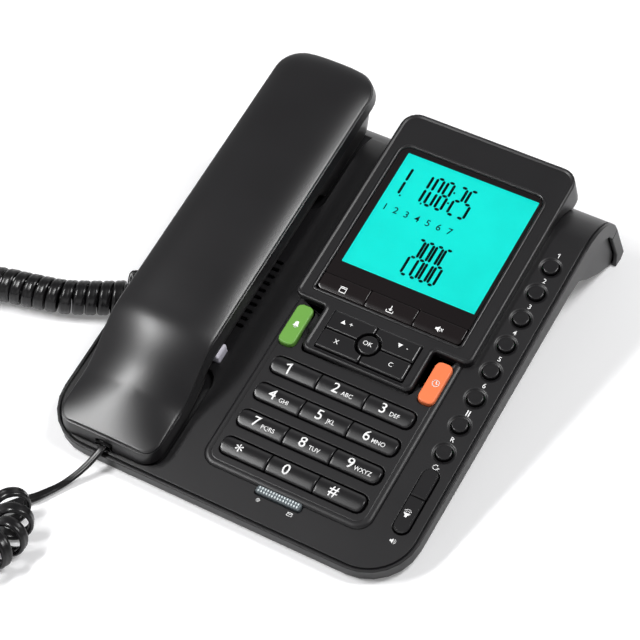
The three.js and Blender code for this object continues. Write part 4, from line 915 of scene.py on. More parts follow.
def underside(v):
    """Height of the inner shell's underside."""
    d = v - HANDSET_NEAR
    mouth, handle, ear = UNDER_HEIGHTS
    height = mouth + (handle - mouth) * smooth(d, MOUTH_CUP_END, MOUTH_CUP_END + CUP_SLOPE)
    return height + (ear - height) * smooth(d, EAR_CUP_START, EAR_CUP_START + CUP_SLOPE)


def closed_shell(name, outer, inner):
    """A thin shell: rings of its outer side and of its inner side, from the same first ring."""
    count = len(outer[0])
    points = [p for ring in outer + inner for p in ring]
    shift = len(outer) * count
    faces = loft_faces(count, len(outer))
    faces += [tuple(i + shift for i in face) for face in loft_faces(count, len(inner))]
    piece = mesh_piece(name, points, faces)
    piece.data.transform(Matrix.Translation((HANDSET_CENTRE, 0, 0)))
    return piece


def covers(outline, height):
    """Rings that close a shell from its outline to the handset's middle line."""
    return [ring_of(drawn_in(outline, share), height) for share in COVER_SHARES]


def plug_notch():
    """The room for the plug in the handset's near end."""
    low, high = span("handset_plug")
    plan = rectangle(low.x - PLUG_ROOM, high.x + PLUG_ROOM, BELOW, high.y + PLUG_ROOM, 0)
    return stack("notch", (plan, BELOW), (plan, high.z + PLUG_ROOM))


class TELEPHONE_OT_handset(bpy.types.Operator):
    """Makes the handset's outer and inner shell with their sound holes"""

    bl_idname = "telephone.handset"
    bl_label = "Handset"

    def execute(self, context):
        sizes = context.scene.telephone_shells
        self.outer(sizes)
        self.inner(sizes.wall / MM)
        finished("earpiece_capsule", "anodised aluminium")
        finished("microphone_capsule", "anodised aluminium")
        finished("handset_screw", "zinc-plated steel")
        return {"FINISHED"}

    def outer(self, sizes):
        wall, crown = sizes.wall / MM, sizes.crown / MM
        seam, depth = sizes.seam / MM, sizes.seam_depth / MM
        edge = handset_plan(0, 0, 0)
        rim = handset_plan(SIDE_FLARE, END_FLARE, CORNER_FLARE)

        def on_side(share, drop, inset):
            outline = [a.lerp(b, share) for a, b in zip(edge, rim)]
            return ring_of(moved_in(outline, inset), crowned(crown, drop))

        def rim_height(p):
            return handset_height(RIM_HEIGHTS, p.y)

        low = ring_of(rim, rim_height)
        side = [on_side(share, down * seam, deep * depth) for share, down, deep in SEAM_PROFILE]
        middle = [tuple(Vector(a).lerp(Vector(b), 0.5)) for a, b in zip(low, side[0])]
        outer = [low, middle, *side, on_side(0, seam * 0.25, seam * 0.1)]
        outer += covers(edge, crowned(crown))
        # Inside, the wall keeps its thickness
        inner_rim = handset_plan(SIDE_FLARE, END_FLARE, CORNER_FLARE, wall)
        inner_edge, inner_height = handset_plan(0, 0, 0, wall), crowned(crown, wall)
        inner = [low, ring_of(inner_rim, rim_height), ring_of(inner_edge, inner_height)]
        inner += covers(inner_edge, inner_height)
        shell = closed_shell("outer", outer, inner)
        shaded(cut(shell, plug_notch()), 50)
        settled(shell, "handset_back", "handset", "satin ABS", ["handset_outer_shell"])

    def inner(self, wall):
        def top(p):
            return handset_height(RIM_HEIGHTS, p.y) - SHELL_GAP

        def under(p, rise=0):
            return underside(p.y) + rise

        def draft(p):
            return SHELL_DRAFT_SHARE * (top(p) - under(p) - SHELL_CHAMFER)

        rim = handset_plan(SIDE_FLARE - SHELL_TUCK, -INNER_INSET, 0)
        knee = moved_in(rim, draft)
        outer = [ring_of(rim, top)]
        for a in [math.radians(step) for step in (0, 22, 45, 67, 90)]:
            bottom = moved_in(knee, SHELL_CHAMFER * (1 - math.cos(a)))
            rise = SHELL_CHAMFER * (1 - math.sin(a))
            outer.append(ring_of(bottom, lambda p: under(p, rise)))
        outer += covers(bottom, under)
        floor = moved_in(bottom, wall * 0.6)
        inner = [outer[0], ring_of(moved_in(rim, wall), top)]
        inner.append(ring_of(floor, lambda p: under(p, wall)))
        inner += covers(floor, lambda p: under(p, wall))
        shell = closed_shell("inner", outer, inner)
        cutters = [plug_notch()]
        for v, rings in SOUND_RINGS.items():
            cutters += [sound_holes(v, holes, radius) for holes, radius in rings]
        low, high = span("handset_screw")
        well = circle(*centre_of("handset_screw"), high.x - low.x + 2 * SCREW_ROOM)
        cutters.append(stack("well", (well, BELOW), (well, low.z + 1.4)))
        shaded(cut(shell, *cutters), 40)
        settled(shell, "handset_front", "handset", "satin ABS", ["handset_inner_shell"])


def repeated(name, counts, pitch, size, round_shape, finish, ring=False):
    """A piece that Geometry Nodes repeat: along a line, over a grid or round a ring."""
    tree = bpy.data.node_groups.new(name, "GeometryNodeTree")
    values = {
        "Columns": counts[0], "Rows": counts[1], "Column pitch": float(pitch[0]),
        "Row pitch": float(pitch[1]), "Size": size,
    }
    for label, value in values.items():
        kind = {int: "Int", float: "Float", tuple: "Vector"}[type(value)]
        socket = tree.interface.new_socket(label, in_out="INPUT", socket_type=f"NodeSocket{kind}")
        socket.default_value = value
    tree.interface.new_socket("Geometry", in_out="OUTPUT", socket_type="NodeSocketGeometry")
    given = add(tree, "NodeGroupInput").outputs
    if ring:
        points = add(tree, "GeometryNodeMeshCircle", {
            "Vertices": given["Columns"], "Radius": given["Column pitch"],
        })
    else:
        width, length = [
            computed(tree, "MULTIPLY", computed(tree, "SUBTRACT", given[number], 1.0), given[step])
            for number, step in (("Columns", "Column pitch"), ("Rows", "Row pitch"))
        ]
        points = add(tree, "GeometryNodeMeshGrid", {
            "Size X": width, "Size Y": length, "Vertices X": given["Columns"],
            "Vertices Y": given["Rows"],
        })
    if round_shape:
        shape = add(tree, "GeometryNodeMeshCylinder", {"Vertices": 12, "Radius": 0.5, "Depth": 1.0})
    else:
        shape = add(tree, "GeometryNodeMeshUVSphere", {"Segments": 12, "Rings": 6, "Radius": 0.5})
    copies = add(tree, "GeometryNodeInstanceOnPoints", {
        "Points": points.outputs["Mesh"], "Instance": shape.outputs["Mesh"],
        "Scale": given["Size"],
    })
    real = add(tree, "GeometryNodeRealizeInstances", {"Geometry": copies.outputs["Instances"]})
    painted = add(tree, "GeometryNodeSetMaterial", {
        "Geometry": real.outputs["Geometry"], "Material": finish_of(finish)[0],
    })
    add(tree, "NodeGroupOutput", {"Geometry": painted.outputs["Geometry"]})
    piece = linked(name, bpy.data.meshes.new(name))
    change = piece.modifiers.new(name, "NODES")
    change.node_group = tree
    for item in tree.interface.items_tree:
        if item.in_out == "INPUT":
            change[item.identifier] = values[item.name]
    return applied(piece)


def sound_holes(v, holes, radius):
    """Cutters for one ring of sound holes in the handset's inner shell."""
    size = (SOUND_HOLE, SOUND_HOLE, SOUND_HOLE_DEPTH)
    piece = repeated("sound_holes", (holes, 1), (radius, 0), size, True, "satin ABS", holes > 1)
    piece.data.transform(Matrix.Translation((HANDSET_CENTRE, v, underside(v))))
    return piece


# Housings

BASE_HALF = 87.5
# Behind its length the deck rolls down by this radius, drawn up to these shares of it
DECK_LENGTH = 178.8
ROLL_RADIUS = 34
ROLL_SHARE = 0.94
EDGE_SHARE = 0.92
CORNER_RADIUS = 23
FRONT_REACH = 0.5
# The raised field round the dial keys: its height, its sides and its corners
PLATEAU = 1.3
PLATEAU_FIELD = (-15.7, 65.3, 16.2, 107.8)
PLATEAU_CORNER = 7.5
PLATEAU_EDGE = 2.1
PLATEAU_REAR_CORNER = 2
# The dished place round a round key: shares of its diameter and their heights
DISH_PROFILE = ((0.8, -0.55), (0.86, -0.5), (1, 0.02), (1, 2))


def deck_fall(v):
    """Height of the deck's surface off its plane: none, and falling where it rolls down."""
    reach = min(max(v - DECK_LENGTH, 0), ROLL_RADIUS * ROLL_SHARE)
    return math.sqrt(ROLL_RADIUS ** 2 - reach ** 2) - ROLL_RADIUS


def deck_edge(inset):
    """The deck's edge from the rear left round the front to the rear right, so far in."""
    rear = DECK_LENGTH + ROLL_RADIUS * EDGE_SHARE
    half, front = BASE_HALF - inset, inset - FRONT_REACH
    corner = CORNER_RADIUS - inset
    turns = [math.radians(90 * step / 10) for step in range(11)]
    sides = [rear + (front + corner - rear) * step / 60 for step in range(60)]
    left = [Vector((-half, v)) for v in sides]
    left += [Vector((corner - half - corner * math.cos(a), front + corner - corner * math.sin(a)))
             for a in turns]
    return left + [Vector((-p.x, p.y)) for p in reversed(left)]


def rim_line(sizes):
    """Cutter for the line between the deck and its rim."""
    rim, line = sizes.rim / MM, sizes.line / MM
    rings = []
    for a, b in zip(deck_edge(rim), deck_edge(rim + line)):
        fall = deck_fall(a.y)
        reach = min(max(a.y - DECK_LENGTH, 0) / ROLL_RADIUS, ROLL_SHARE)
        slope = 1 / math.cos(math.asin(reach))
        low, high = fall - line * slope, fall + 3
        rings.append([(a.x, a.y, low), (b.x, b.y, low), (b.x, b.y, high), (a.x, a.y, high)])
    return loft("rim_line", rings)


def dish(node, width):
    """Cutter for the dished place round a round key."""
    u, v = centre_of(node, 0)
    return stack("dish", *[(circle(u, v, width * share), n) for share, n in DISH_PROFILE])


class TELEPHONE_OT_housing(bpy.types.Operator):
    """Finishes the base's housings, feet, screws, jacks and what lies inside them"""

    bl_idname = "telephone.housing"
    bl_label = "Housing"

    def execute(self, context):
        sizes = context.scene.telephone_shells
        edge = sizes.edge / MM
        upper = node_copy("upper_housing")
        dishes = [dish(f"round_key_{i + 1}", sizes.dish / MM) for i in range(8)]
        self.plateau()
        cut(upper, rim_line(sizes), *dishes)
        softened(upper, edge, clamp=False)
        settled(upper, "deck_cover", "base", "textured ABS", ["upper_housing"])
        # Pieces that follow their node with softer edges, of that part of the housings' radius
        pieces = [("lower_housing", "bottom_tray", "base", "textured ABS", 1),
                  ("rear_stand", "rear_heel", "base", "textured ABS", 1)]
        pieces += [(f"foot_{end}_{side}", f"pad_{end}_{side}", "base", "pressed rubber", 2)
                   for end in ("front", "rear") for side in ("left", "right")]
        pieces += [("line_jack", "line_socket", "base", "polished ABS", 3),
                   ("handset_jack", "lead_socket", "base", "polished ABS", 3),
                   ("hook_plunger", "hook_button", "hook_plunger", "white ABS", 2)]
        for node, name, body, finish, part in pieces:
            settled(softened(node_copy(node), edge / part), name, body, finish, [node])
        for node, finish in (
            ("base_plug", "clear polycarbonate"), ("handset_plug", "clear polycarbonate"),
            ("base_screw", "zinc-plated steel"), ("main_board", "solder-masked glass epoxy"),
            ("keypad_mat", "moulded silicone"), ("loudspeaker", "anodised aluminium"),
        ):
            finished(node, finish)
        return {"FINISHED"}

    def plateau(self):
        """The soft round edge of the raised field round the dial keys."""
        left, right, front, rear = PLATEAU_FIELD

        def ring(inset, height):
            radii = [PLATEAU_CORNER - inset] * 2 + [max(PLATEAU_REAR_CORNER - inset, 0.3)] * 2
            return ring_of(rectangle(
                left + inset, right - inset, front + inset, rear - inset, radii, 9,
            ), height)

        arch = [math.radians(step) for step in range(0, 91, 10)]
        rings = [ring(0.1, -0.6), ring(-0.05, -0.1)]
        rings += [ring(PLATEAU_EDGE * (1 - math.cos(a)), (PLATEAU + 0.05) * math.sin(a))
                  for a in arch]
        rings += [ring(PLATEAU_EDGE + 1, PLATEAU - 0.05), ring(PLATEAU_EDGE + 1, -0.6)]
        edge = shaded(loft("edge", rings, True), 50)
        settled(edge, "plateau_edge", "base", "textured ABS")


# Display

# Print on a curved key is cut into strips of that length, which follow the key's top
PRINT_STEP = 0.35
# Where each bar of a digit runs, in widths and half heights from the digit's lower left corner
BARS = {
    "a": ((0, 2), (1, 2)), "b": ((1, 2), (1, 1)), "c": ((1, 1), (1, 0)), "d": ((0, 0), (1, 0)),
    "e": ((0, 1), (0, 0)), "f": ((0, 2), (0, 1)), "g": ((0, 1), (1, 1)),
}
DIGIT_BARS = {
    "0": "abcdef", "1": "bc", "2": "abged", "5": "afgcd", "6": "afgedc", "8": "abcdefg",
}
# Each bar ends short of its corners by that share of half its thickness
BAR_GAP = 0.4


def digit_bars(digit, u, v, width, height, thick):
    """The bars of a digit whose lower left corner is at (u, v), each with pointed ends."""
    bars = []
    for name in DIGIT_BARS[digit]:
        a, b = [Vector((u + x * width, v + y * height / 2)) for x, y in BARS[name]]
        way = (b - a).normalized() * thick / 2
        side = Vector((-way.y, way.x))
        a, b = a + way * BAR_GAP, b - way * BAR_GAP
        bars.append([a, a + way + side, b - way + side, b, b - way - side, a + way - side])
    return bars


def lettering(text, u, v, size):
    """A text as a flat mesh, centred on (u, v)."""
    data = bpy.data.curves.new("text", "FONT")
    data.body, data.size, data.offset = text, size, size * 0.006
    data.align_x, data.align_y = "CENTER", "CENTER"
    data.resolution_u = 4
    made = linked("text", data)
    mesh = evaluated(made)
    mesh.transform(Matrix.Translation((u, v, 0)))
    bpy.data.objects.remove(made)
    bpy.data.curves.remove(data)
    return mesh


def printed(name, body, texts, outlines, height, finish, thick, curved=False):
    """One printed piece of texts (text, u, v, size) and flat outlines on a surface."""
    work = bmesh.new()
    for outline in outlines:
        work.faces.new([work.verts.new((p[0], p[1], 0)) for p in outline])
    for text in texts:
        mesh = lettering(*text)
        work.from_mesh(mesh)
        bpy.data.meshes.remove(mesh)
    bmesh.ops.remove_doubles(work, verts=work.verts, dist=SAME_POINT)
    if curved:
        low = min(vertex.co.y for vertex in work.verts)
        high = max(vertex.co.y for vertex in work.verts)
        for i in range(1, round((high - low) / PRINT_STEP)):
            bmesh.ops.bisect_plane(
                work, geom=[*work.verts, *work.edges, *work.faces],
                plane_co=(0, low + PRINT_STEP * i, 0), plane_no=(0, 1, 0),
            )
    under = set(work.verts)
    bmesh.ops.extrude_face_region(work, geom=work.faces[:])
    for vertex in work.verts:
        vertex.co.z = height(vertex.co.xy) + (-thick if vertex in under else thick)
    bmesh.ops.recalc_face_normals(work, faces=work.faces)
    piece = mesh_piece(name, [], [])
    work.to_mesh(piece.data)
    work.free()
    return settled(piece, name, body, finish)


# The fascia's outline: a wide part with a narrower tongue round the navigation keys
FASCIA_FRONT = 104.5
FASCIA_HALF = 43.5
FASCIA_CENTRE = 25.4
FASCIA_REAR = 213.4
TONGUE_CENTRE = 24.8
TONGUE_HALF = 26.7
TONGUE_LENGTH = 22.7
# Its top's height over the tongue's tip, its slope, its depth, its reach at the back and its wall
FASCIA_RISE = 4
FASCIA_SLOPE = 0.005
FASCIA_DROP = 16.5
FASCIA_TAIL = 2.4
FASCIA_WALL = 2.6
# Its rounded lip, and the fall inside the lip: how far in and how far down
LIP = 1.1
LIP_STEP = 0.45
LIP_PROFILE = ((1.35, 0.03), (1.7, 0.2), (2.05, 0.4), (2.3, LIP_STEP))
# Gaps round the window and the keys, the ledge under the window, and the window's corners
WINDOW_GAP = 0.3
KEY_GAP = 0.35
LEDGE = 1.1
WINDOW_CORNERS = (1, 1, 4.5, 4.5)
# Section of the bead round the window: how far out and how high over the fascia's step
BEZEL_PROFILE = (
    (1.5, -0.3), (1.45, 0.1), (1.2, 0.36), (0.8, 0.42), (0.4, 0.3), (0.15, 0), (0.02, -0.8),
    (0.8, -0.9),
)
# The part of the lit glass that shows through the window: left, right, front and rear
SEEN_GLASS = (-6.9, 58.9, 128.2, 192.1)
# The black frames on the lit glass and on the window: how far in the lower one starts on the left,
# right, front and rear and how far it reaches round the window, the upper one's corners, their
# heights over their glass and their thickness
GLASS_MARGINS = (0.5, 0.1, 0.4, 0.3)
GLASS_MASK_REACH = 0.2
GLASS_MASK_RISE = 0.12
WINDOW_MASK_CORNERS = (0.8, 0.8, 4.2, 4.2)
WINDOW_MASK_RISE = 0.05
MASK_THICK = 0.04
# Rows of digits: lower edge, width and height, and the left edge of each digit
DIGIT_ROWS = (
    (170.6, 3.1, 15.4, (("1", -4.5), ("1", 6), ("0", 11.6), ("8", 16.8), ("2", 23.2), ("5", 28.2))),
    (134, 2.9, 19.4, (("2", 19.2), ("8", 23.6), ("0", 28), ("6", 32.4))),
)
BAR_WIDTH = 1.3
# Dots: lower left corner and width
DOTS = ((21, 175.2, 0.9), (21, 181.2, 0.9), (-0.6, 169.9, 0.8), (10, 169.9, 0.8))
DOT_HEIGHT = 0.9


def fascia_plan(inset, lean=0):
    """The fascia's outline, so far in, with its back so far out."""
    side, tongue = FASCIA_HALF - inset, TONGUE_HALF - inset
    front, tip = FASCIA_FRONT + inset, FASCIA_FRONT - TONGUE_LENGTH + inset
    rear = FASCIA_REAR + lean - inset
    left, right = FASCIA_CENTRE - side, FASCIA_CENTRE + side
    inner_left, inner_right = TONGUE_CENTRE - tongue, TONGUE_CENTRE + tongue
    return rounded([
        (left, front, 4 - inset), (inner_left, front, 1.5 + inset),
        (inner_left, tip, 3.2 - inset / 2), (inner_right, tip, 3.2 - inset / 2),
        (inner_right, front, 1.5 + inset), (right, front, 4 - inset),
        (right, rear, 8 - inset), (left, rear, 8 - inset),
    ], 6)


def fascia_top(drop):
    """Height of the fascia's sloping top, or of a face that far below it."""
    return lambda p: FASCIA_RISE + FASCIA_SLOPE * (p.y - FASCIA_FRONT + TONGUE_LENGTH) - drop


def fascia_block(inset, lipped):
    """The fascia without its openings, so far in, with or without the fall inside its lip."""
    low = FASCIA_RISE - FASCIA_DROP + inset
    layers = [(fascia_plan(inset + LIP, FASCIA_TAIL), low),
              (fascia_plan(inset, FASCIA_TAIL), low + LIP)]
    for a in [math.radians(angle) for angle in (0, 20, 40, 60, 80, 90)]:
        layers.append((fascia_plan(inset + LIP * (1 - math.cos(a))),
                       fascia_top(inset + LIP * (1 - math.sin(a)))))
    if lipped:
        layers += [(fascia_plan(place), fascia_top(drop)) for place, drop in LIP_PROFILE]
    return stack("block", *layers)


def deck_block():
    """What the fascia stands on: the room below the deck and below its roll at the rear."""
    rise = 0.3
    radius = ROLL_RADIUS + rise
    profile = [(0, -40), (0, rise), (DECK_LENGTH, rise)]
    profile += [(DECK_LENGTH + radius * math.sin(a), radius * math.cos(a) - ROLL_RADIUS)
                for a in [math.radians(4 * step) for step in range(1, 20)]]
    profile.append((DECK_LENGTH, -40))
    return loft("deck", [[(u, v, n) for v, n in profile] for u in (-80, 120)])


class TELEPHONE_OT_display(bpy.types.Operator):
    """Makes the display's fascia, window, lit glass and digits"""

    bl_idname = "telephone.display"
    bl_label = "Display"

    def execute(self, context):
        self.fascia()
        window = softened(node_copy("display_window"), 0.25, 2)
        settled(window, "window_pane", "base", "clear acrylic", ["display_window"])
        finished("lcd_panel", "back-lit glass")
        self.digits()
        return {"FINISHED"}

    def fascia(self):
        fascia = cut(fascia_block(0, True), deck_block())
        cut(fascia, fascia_block(FASCIA_WALL, False))
        low, high = span("display_window")
        front = span("soft_key_left", SOFT_FOOT)[0].y - KEY_GAP
        left, right, rear = low.x - WINDOW_GAP, high.x + WINDOW_GAP, high.y + WINDOW_GAP
        pocket = rectangle(left, right, front, rear, WINDOW_CORNERS)
        ledge = rectangle(low.x + LEDGE, high.x - LEDGE, front, high.y - LEDGE, 1.7)
        row = rectangle(left, right, front, low.y, 1)
        nav_low, nav_high = span("nav_key_out", SOFT_FOOT)[0], span("nav_key_down", SOFT_FOOT)[1]
        keys = around(nav_low, nav_high, KEY_GAP, 0.6)
        cut(fascia, *[
            stack("opening", (plan, foot), (plan, ABOVE))
            for plan, foot in ((pocket, low.z - WINDOW_GAP), (ledge, BELOW), (row, BELOW),
                               (keys, BELOW))
        ])
        softened(fascia, 0.3, 2, 40, False)
        settled(fascia, "display_cover", "base", "textured ABS", ["display_fascia"])
        self.masks()

        def bead(out, height):
            corners = [corner + out for corner in WINDOW_CORNERS]
            outline = rectangle(left - out, right + out, front - out, rear + out, corners, 8)
            return ring_of(outline, fascia_top(LIP_STEP - height))

        bezel = loft("bezel", [bead(*place) for place in BEZEL_PROFILE], True)
        settled(shaded(bezel, 60), "window_bezel", "base", "satin ABS")

    def masks(self):
        """Black frames: on the lit glass, and on the window round what shows of it."""
        low, high = span("display_window")
        glass_low, glass_high = span("lcd_panel")
        left, right, front, rear = GLASS_MARGINS
        inner = rectangle(glass_low.x + left, glass_high.x - right, glass_low.y + front,
                          glass_high.y - rear, 0.5)
        self.mask("glass_mask", inner, around(low, high, GLASS_MASK_REACH, 1.5),
                  lambda p: glass_high.z + GLASS_MASK_RISE)
        outer = around(low, high, 0, WINDOW_MASK_CORNERS)
        self.mask("window_mask", rectangle(*SEEN_GLASS, 0.6), outer,
                  lambda p: high.z + WINDOW_MASK_RISE + FASCIA_SLOPE * (p.y - high.y))

    def mask(self, name, inner, outer, height):
        def under(p):
            return height(p) - MASK_THICK

        rings = [ring_of(inner, height), ring_of(outer, height), ring_of(outer, under),
                 ring_of(inner, under)]
        settled(loft(name, rings, True), name, "base", "screen-printed black")

    def digits(self):
        top = span("lcd_panel")[1].z + 0.05
        bars = []
        for v, width, height, places in DIGIT_ROWS:
            for digit, u in places:
                bars += digit_bars(digit, u, v, width, height, BAR_WIDTH)
        bars += [rectangle(u, u + width, v, v + DOT_HEIGHT, 0.2, 2) for u, v, width in DOTS]
        numbers = [(str(i + 1), -3.4 + i * 5.4, 162.2, 4.8) for i in range(7)]
        printed("display_digits", "base", numbers, bars, lambda p: top, "switched crystal", 0.03)


# Keys

# Feet of the caps' skirts, below the plateau for the dial keys, and the roundings of their edges
DIAL_SKIRT = 2.5
SOFT_SKIRT = 1.3
ROUND_SKIRT = -2.2
WIDEST_DIAL_EDGE = 0.6
SOFT_EDGE = 0.4
ROUND_EDGE = 0.5
# A dial key's top: it rises to its ridge, which stands at that share of its length from the rear,
# and falls to its rounded front
KEY_RIDGE = 0.52
KEY_RISE = 1.3
KEY_FALL = 0.95
FALL_POWER = 1.7
KEY_CORNERS = (0.55, 3)
# A soft key's top: flat to that share of its length, then falling
SOFT_FLAT = 0.6
SOFT_FALL = 0.9
SOFT_CORNERS = (0.6, 2.2)
# Heights over which the points of a key belong to its cap
SOFT_FOOT = 3
ROUND_FOOT = 0.3
# Ribs of the lens: their number, pitch and size
RIB_COUNTS = (15, 2)
RIB_PITCH = (1.32, 1.45)
RIB_SIZE = (0.8, 1.25, 0.8)
# How far the rings that fill a key's top lie on the way to its middle, and less so across it
TOP_SHARES = (0.1, 0.2, 0.31, 0.43, 0.56, 0.7, 0.85)
ACROSS_SHARE = 0.7
ROUND_SIDES = 40


def share_from_rear(low, high, p):
    return min(max((high.y - p.y) / (high.y - low.y), 0), 1)


def dial_top(low, high):
    """Height of a dial key's top."""
    def height(p):
        share = share_from_rear(low, high, p)
        swell = 1 - (1 - min(share / KEY_RIDGE, 1)) ** 2
        fall = max(share - KEY_RIDGE, 0) / (1 - KEY_RIDGE)
        return high.z - KEY_RISE + KEY_RISE * swell - KEY_FALL * fall ** FALL_POWER
    return height


def soft_top(low, high):
    """Height of a soft key's top."""
    def height(p):
        fall = max(share_from_rear(low, high, p) - SOFT_FLAT, 0) / (1 - SOFT_FLAT)
        return high.z - SOFT_FALL * fall ** 2
    return height


def cap_layers(plan, low, top, edge, steps=6):
    """A cap with a rounded upper edge. plan(inset) gives its outline and top(p) its height."""
    layers = [(plan(0), low)]
    for step in range(steps + 1):
        a = math.radians(90 * step / steps)
        drop = edge * (1 - math.sin(a))
        layers.append((plan(edge * (1 - math.cos(a))), lambda p, drop=drop: top(p) - drop))
    return layers


class TELEPHONE_OT_keys(bpy.types.Operator):
    """Makes all the keys and the indicator lens"""

    bl_idname = "telephone.keys"
    bl_label = "Keys"

    def execute(self, context):
        edge = context.scene.telephone_keys.edge / MM
        small, large = KEY_CORNERS
        for row in (("star", "0", "hash"), "789", "456", "123"):
            for column, label in enumerate(row):
                node = f"dial_key_{label}"
                low, high = span(node, PLATEAU)
                radii = [(large, small, small, large), (small,) * 4, (small, large, large, small)]
                self.cap(node, "polished ABS", low, high, radii[column], PLATEAU - DIAL_SKIRT,
                         dial_top(low, high), min(edge, WIDEST_DIAL_EDGE), 6)
        for i in range(8):
            self.round_key(f"round_key_{i + 1}")
        small, large = SOFT_CORNERS
        for side, radii in (("left", (large, small, small, small)), ("middle", (small,) * 4),
                            ("right", (small, large, small, small))):
            node = f"soft_key_{side}"
            low, high = span(node, SOFT_FOOT)
            self.cap(node, "gloss black acrylic", low, high, radii, SOFT_SKIRT,
                     soft_top(low, high), SOFT_EDGE, 5)
        for node, softness, finish in (
            *[(f"nav_key_{way}", 0.35, "polished ABS")
              for way in ("out", "delete", "up", "down", "centre")],
            ("oval_key_upper", 0.35, "polished ABS"), ("oval_key_lower", 0.35, "polished ABS"),
            ("green_key", 0.4, "green ABS"), ("orange_key", 0.4, "orange ABS"),
        ):
            key = softened(node_copy(node), softness, 3, 25)
            settled(key, f"cap_{node}", node, finish, [node])
        self.lens()
        return {"FINISHED"}

    def cap(self, node, finish, low, high, radii, foot, top, edge, steps):
        """A key whose top is filled by rings, so that it follows the top's height."""
        def plan(inset):
            corners = [max(r - inset, 0.1) for r in radii]
            return around(low, high, -inset, corners, steps, (12, 8))

        layers = cap_layers(plan, foot, top, edge)
        rings = [ring_of(outline, height) for outline, height in layers]
        u, v = (low.x + high.x) / 2, (low.y + high.y) / 2
        for share in TOP_SHARES:
            flat = [Vector((p.x + (u - p.x) * share * ACROSS_SHARE, p.y + (v - p.y) * share))
                    for p in layers[-1][0]]
            rings.append(ring_of(flat, top))
        settled(shaded(loft(node, rings), 50), f"cap_{node}", node, finish, [node])

    def round_key(self, node):
        low, high = span(node, ROUND_FOOT)
        u, v = centre_of(node, ROUND_FOOT)
        wide = high.y - low.y
        layers = cap_layers(lambda inset: circle(u, v, wide - 2 * inset, ROUND_SIDES),
                            ROUND_SKIRT, lambda p: high.z, ROUND_EDGE, 5)
        # Its top is slightly hollow
        layers += [(circle(u, v, wide * share, ROUND_SIDES), high.z - drop)
                   for share, drop in ((0.5, 0.06), (0.1, 0.1))]
        piece = shaded(stack(node, *layers), 50)
        settled(piece, f"cap_{node}", node, "polished ABS", [node])

    def lens(self):
        lens = softened(node_copy("indicator_lens"), 0.3, 3)
        settled(lens, "lamp_lens", "base", "smoked polycarbonate", ["indicator_lens"])
        # The clear ribs are painted pale: a painted highlight on each rib
        ribs = repeated("ribs", RIB_COUNTS, RIB_PITCH, RIB_SIZE, False, "frosted polycarbonate")
        top = span("indicator_lens", 0)[1].z - 0.02
        ribs.data.transform(Matrix.Translation((*centre_of("indicator_lens", 0), top)))
        settled(shaded(ribs, 80), "lens_ribs", "base", "frosted polycarbonate")


# Print


def stroke(points, width):
    """Flat outlines of a line through the points."""
    outlines = []
    for a, b in zip(points, points[1:]):
        a, b = Vector(a), Vector(b)
        way = (b - a).normalized() * width / 2
        side = Vector((-way.y, way.x))
        outlines.append([a - way + side, a - way - side, b + way - side, b + way + side])
    return outlines


def arc(u, v, radius, start, end, width, steps=12):
    points = [
        (u + radius * math.cos(math.radians(start + (end - start) * i / steps)),
         v + radius * math.sin(math.radians(start + (end - start) * i / steps)))
        for i in range(steps + 1)
    ]
    return stroke(points, width)


SPEAKER_CONE = [(-1, -0.35), (-0.5, -0.35), (0.15, -0.95), (0.15, 0.95), (-0.5, 0.35), (-1, 0.35)]
# Symbols about 2 wide and high, each round its own middle
SYMBOLS = {
    "up": [[(-1, -0.8), (1, -0.8), (0, 0.9)]],
    "down": [[(-1, 0.8), (0, -0.9), (1, 0.8)]],
    "one": stroke([(-0.5, 0.5), (0.08, 0.86), (0.08, -0.92)], 0.27),
    "dot": arc(0, 0, 0.5, 0, 360, 0.9, 16),
    "pause": stroke([(-0.45, -1), (-0.45, 1)], 0.45) + stroke([(0.45, -1), (0.45, 1)], 0.45),
    "again": arc(0, 0, 0.95, 60, 360, 0.32) + [[(0.45, 0.1), (1.5, 0.1), (0.95, -0.75)]],
    "speaker": [
        SPEAKER_CONE, *arc(0.15, 0, 0.55, -55, 55, 0.2), *arc(0.15, 0, 1, -55, 55, 0.2),
    ],
    "silent": [
        SPEAKER_CONE, *stroke([(0.45, -0.4), (1.2, 0.4)], 0.22),
        *stroke([(0.45, 0.4), (1.2, -0.4)], 0.22),
    ],
    "bell": [
        [(-0.85, -0.6), (0.85, -0.6), (0.55, -0.2), (0.5, 0.5), (0.25, 0.85), (-0.25, 0.85),
         (-0.5, 0.5), (-0.55, -0.2)],
        *arc(0, -0.75, 0.28, 180, 360, 0.2, 6),
    ],
    "clock": arc(0, 0, 0.9, 0, 360, 0.22, 20) + stroke([(0, 0.55), (0, 0), (0.4, -0.15)], 0.2),
    "page": stroke([(-0.9, -0.9), (0.9, -0.9), (0.9, 0.8), (-0.9, 0.8), (-0.9, -0.9)], 0.22)
    + stroke([(-0.9, 0.35), (0.9, 0.35)], 0.22),
    "store": stroke([(0, 1), (0, -0.1)], 0.26) + [[(-0.6, 0), (0.6, 0), (0, -0.6)]]
    + stroke([(-1, -0.5), (-1, -1), (1, -1), (1, -0.5)], 0.24),
    "envelope": stroke([(-1, -0.7), (1, -0.7), (1, 0.7), (-1, 0.7), (-1, -0.7)], 0.2)
    + stroke([(-1, 0.7), (0, -0.05), (1, 0.7)], 0.2),
}
LETTERS = {
    "2": "ABC", "3": "DEF", "4": "GHI", "5": "JKL", "6": "MNO", "7": "PQRS", "8": "TUV",
    "9": "WXYZ",
}
# Print on a dial key, from its near left corner: places of the digit and of the letters
DIGIT_PLACE = (8.4, 4.1)
LETTERS_PLACE = (14.4, 3)
# A font's size over the height of its signs, and over that of the small star
FONT_SHARE = 1.25
STAR_SHARE = 1.5
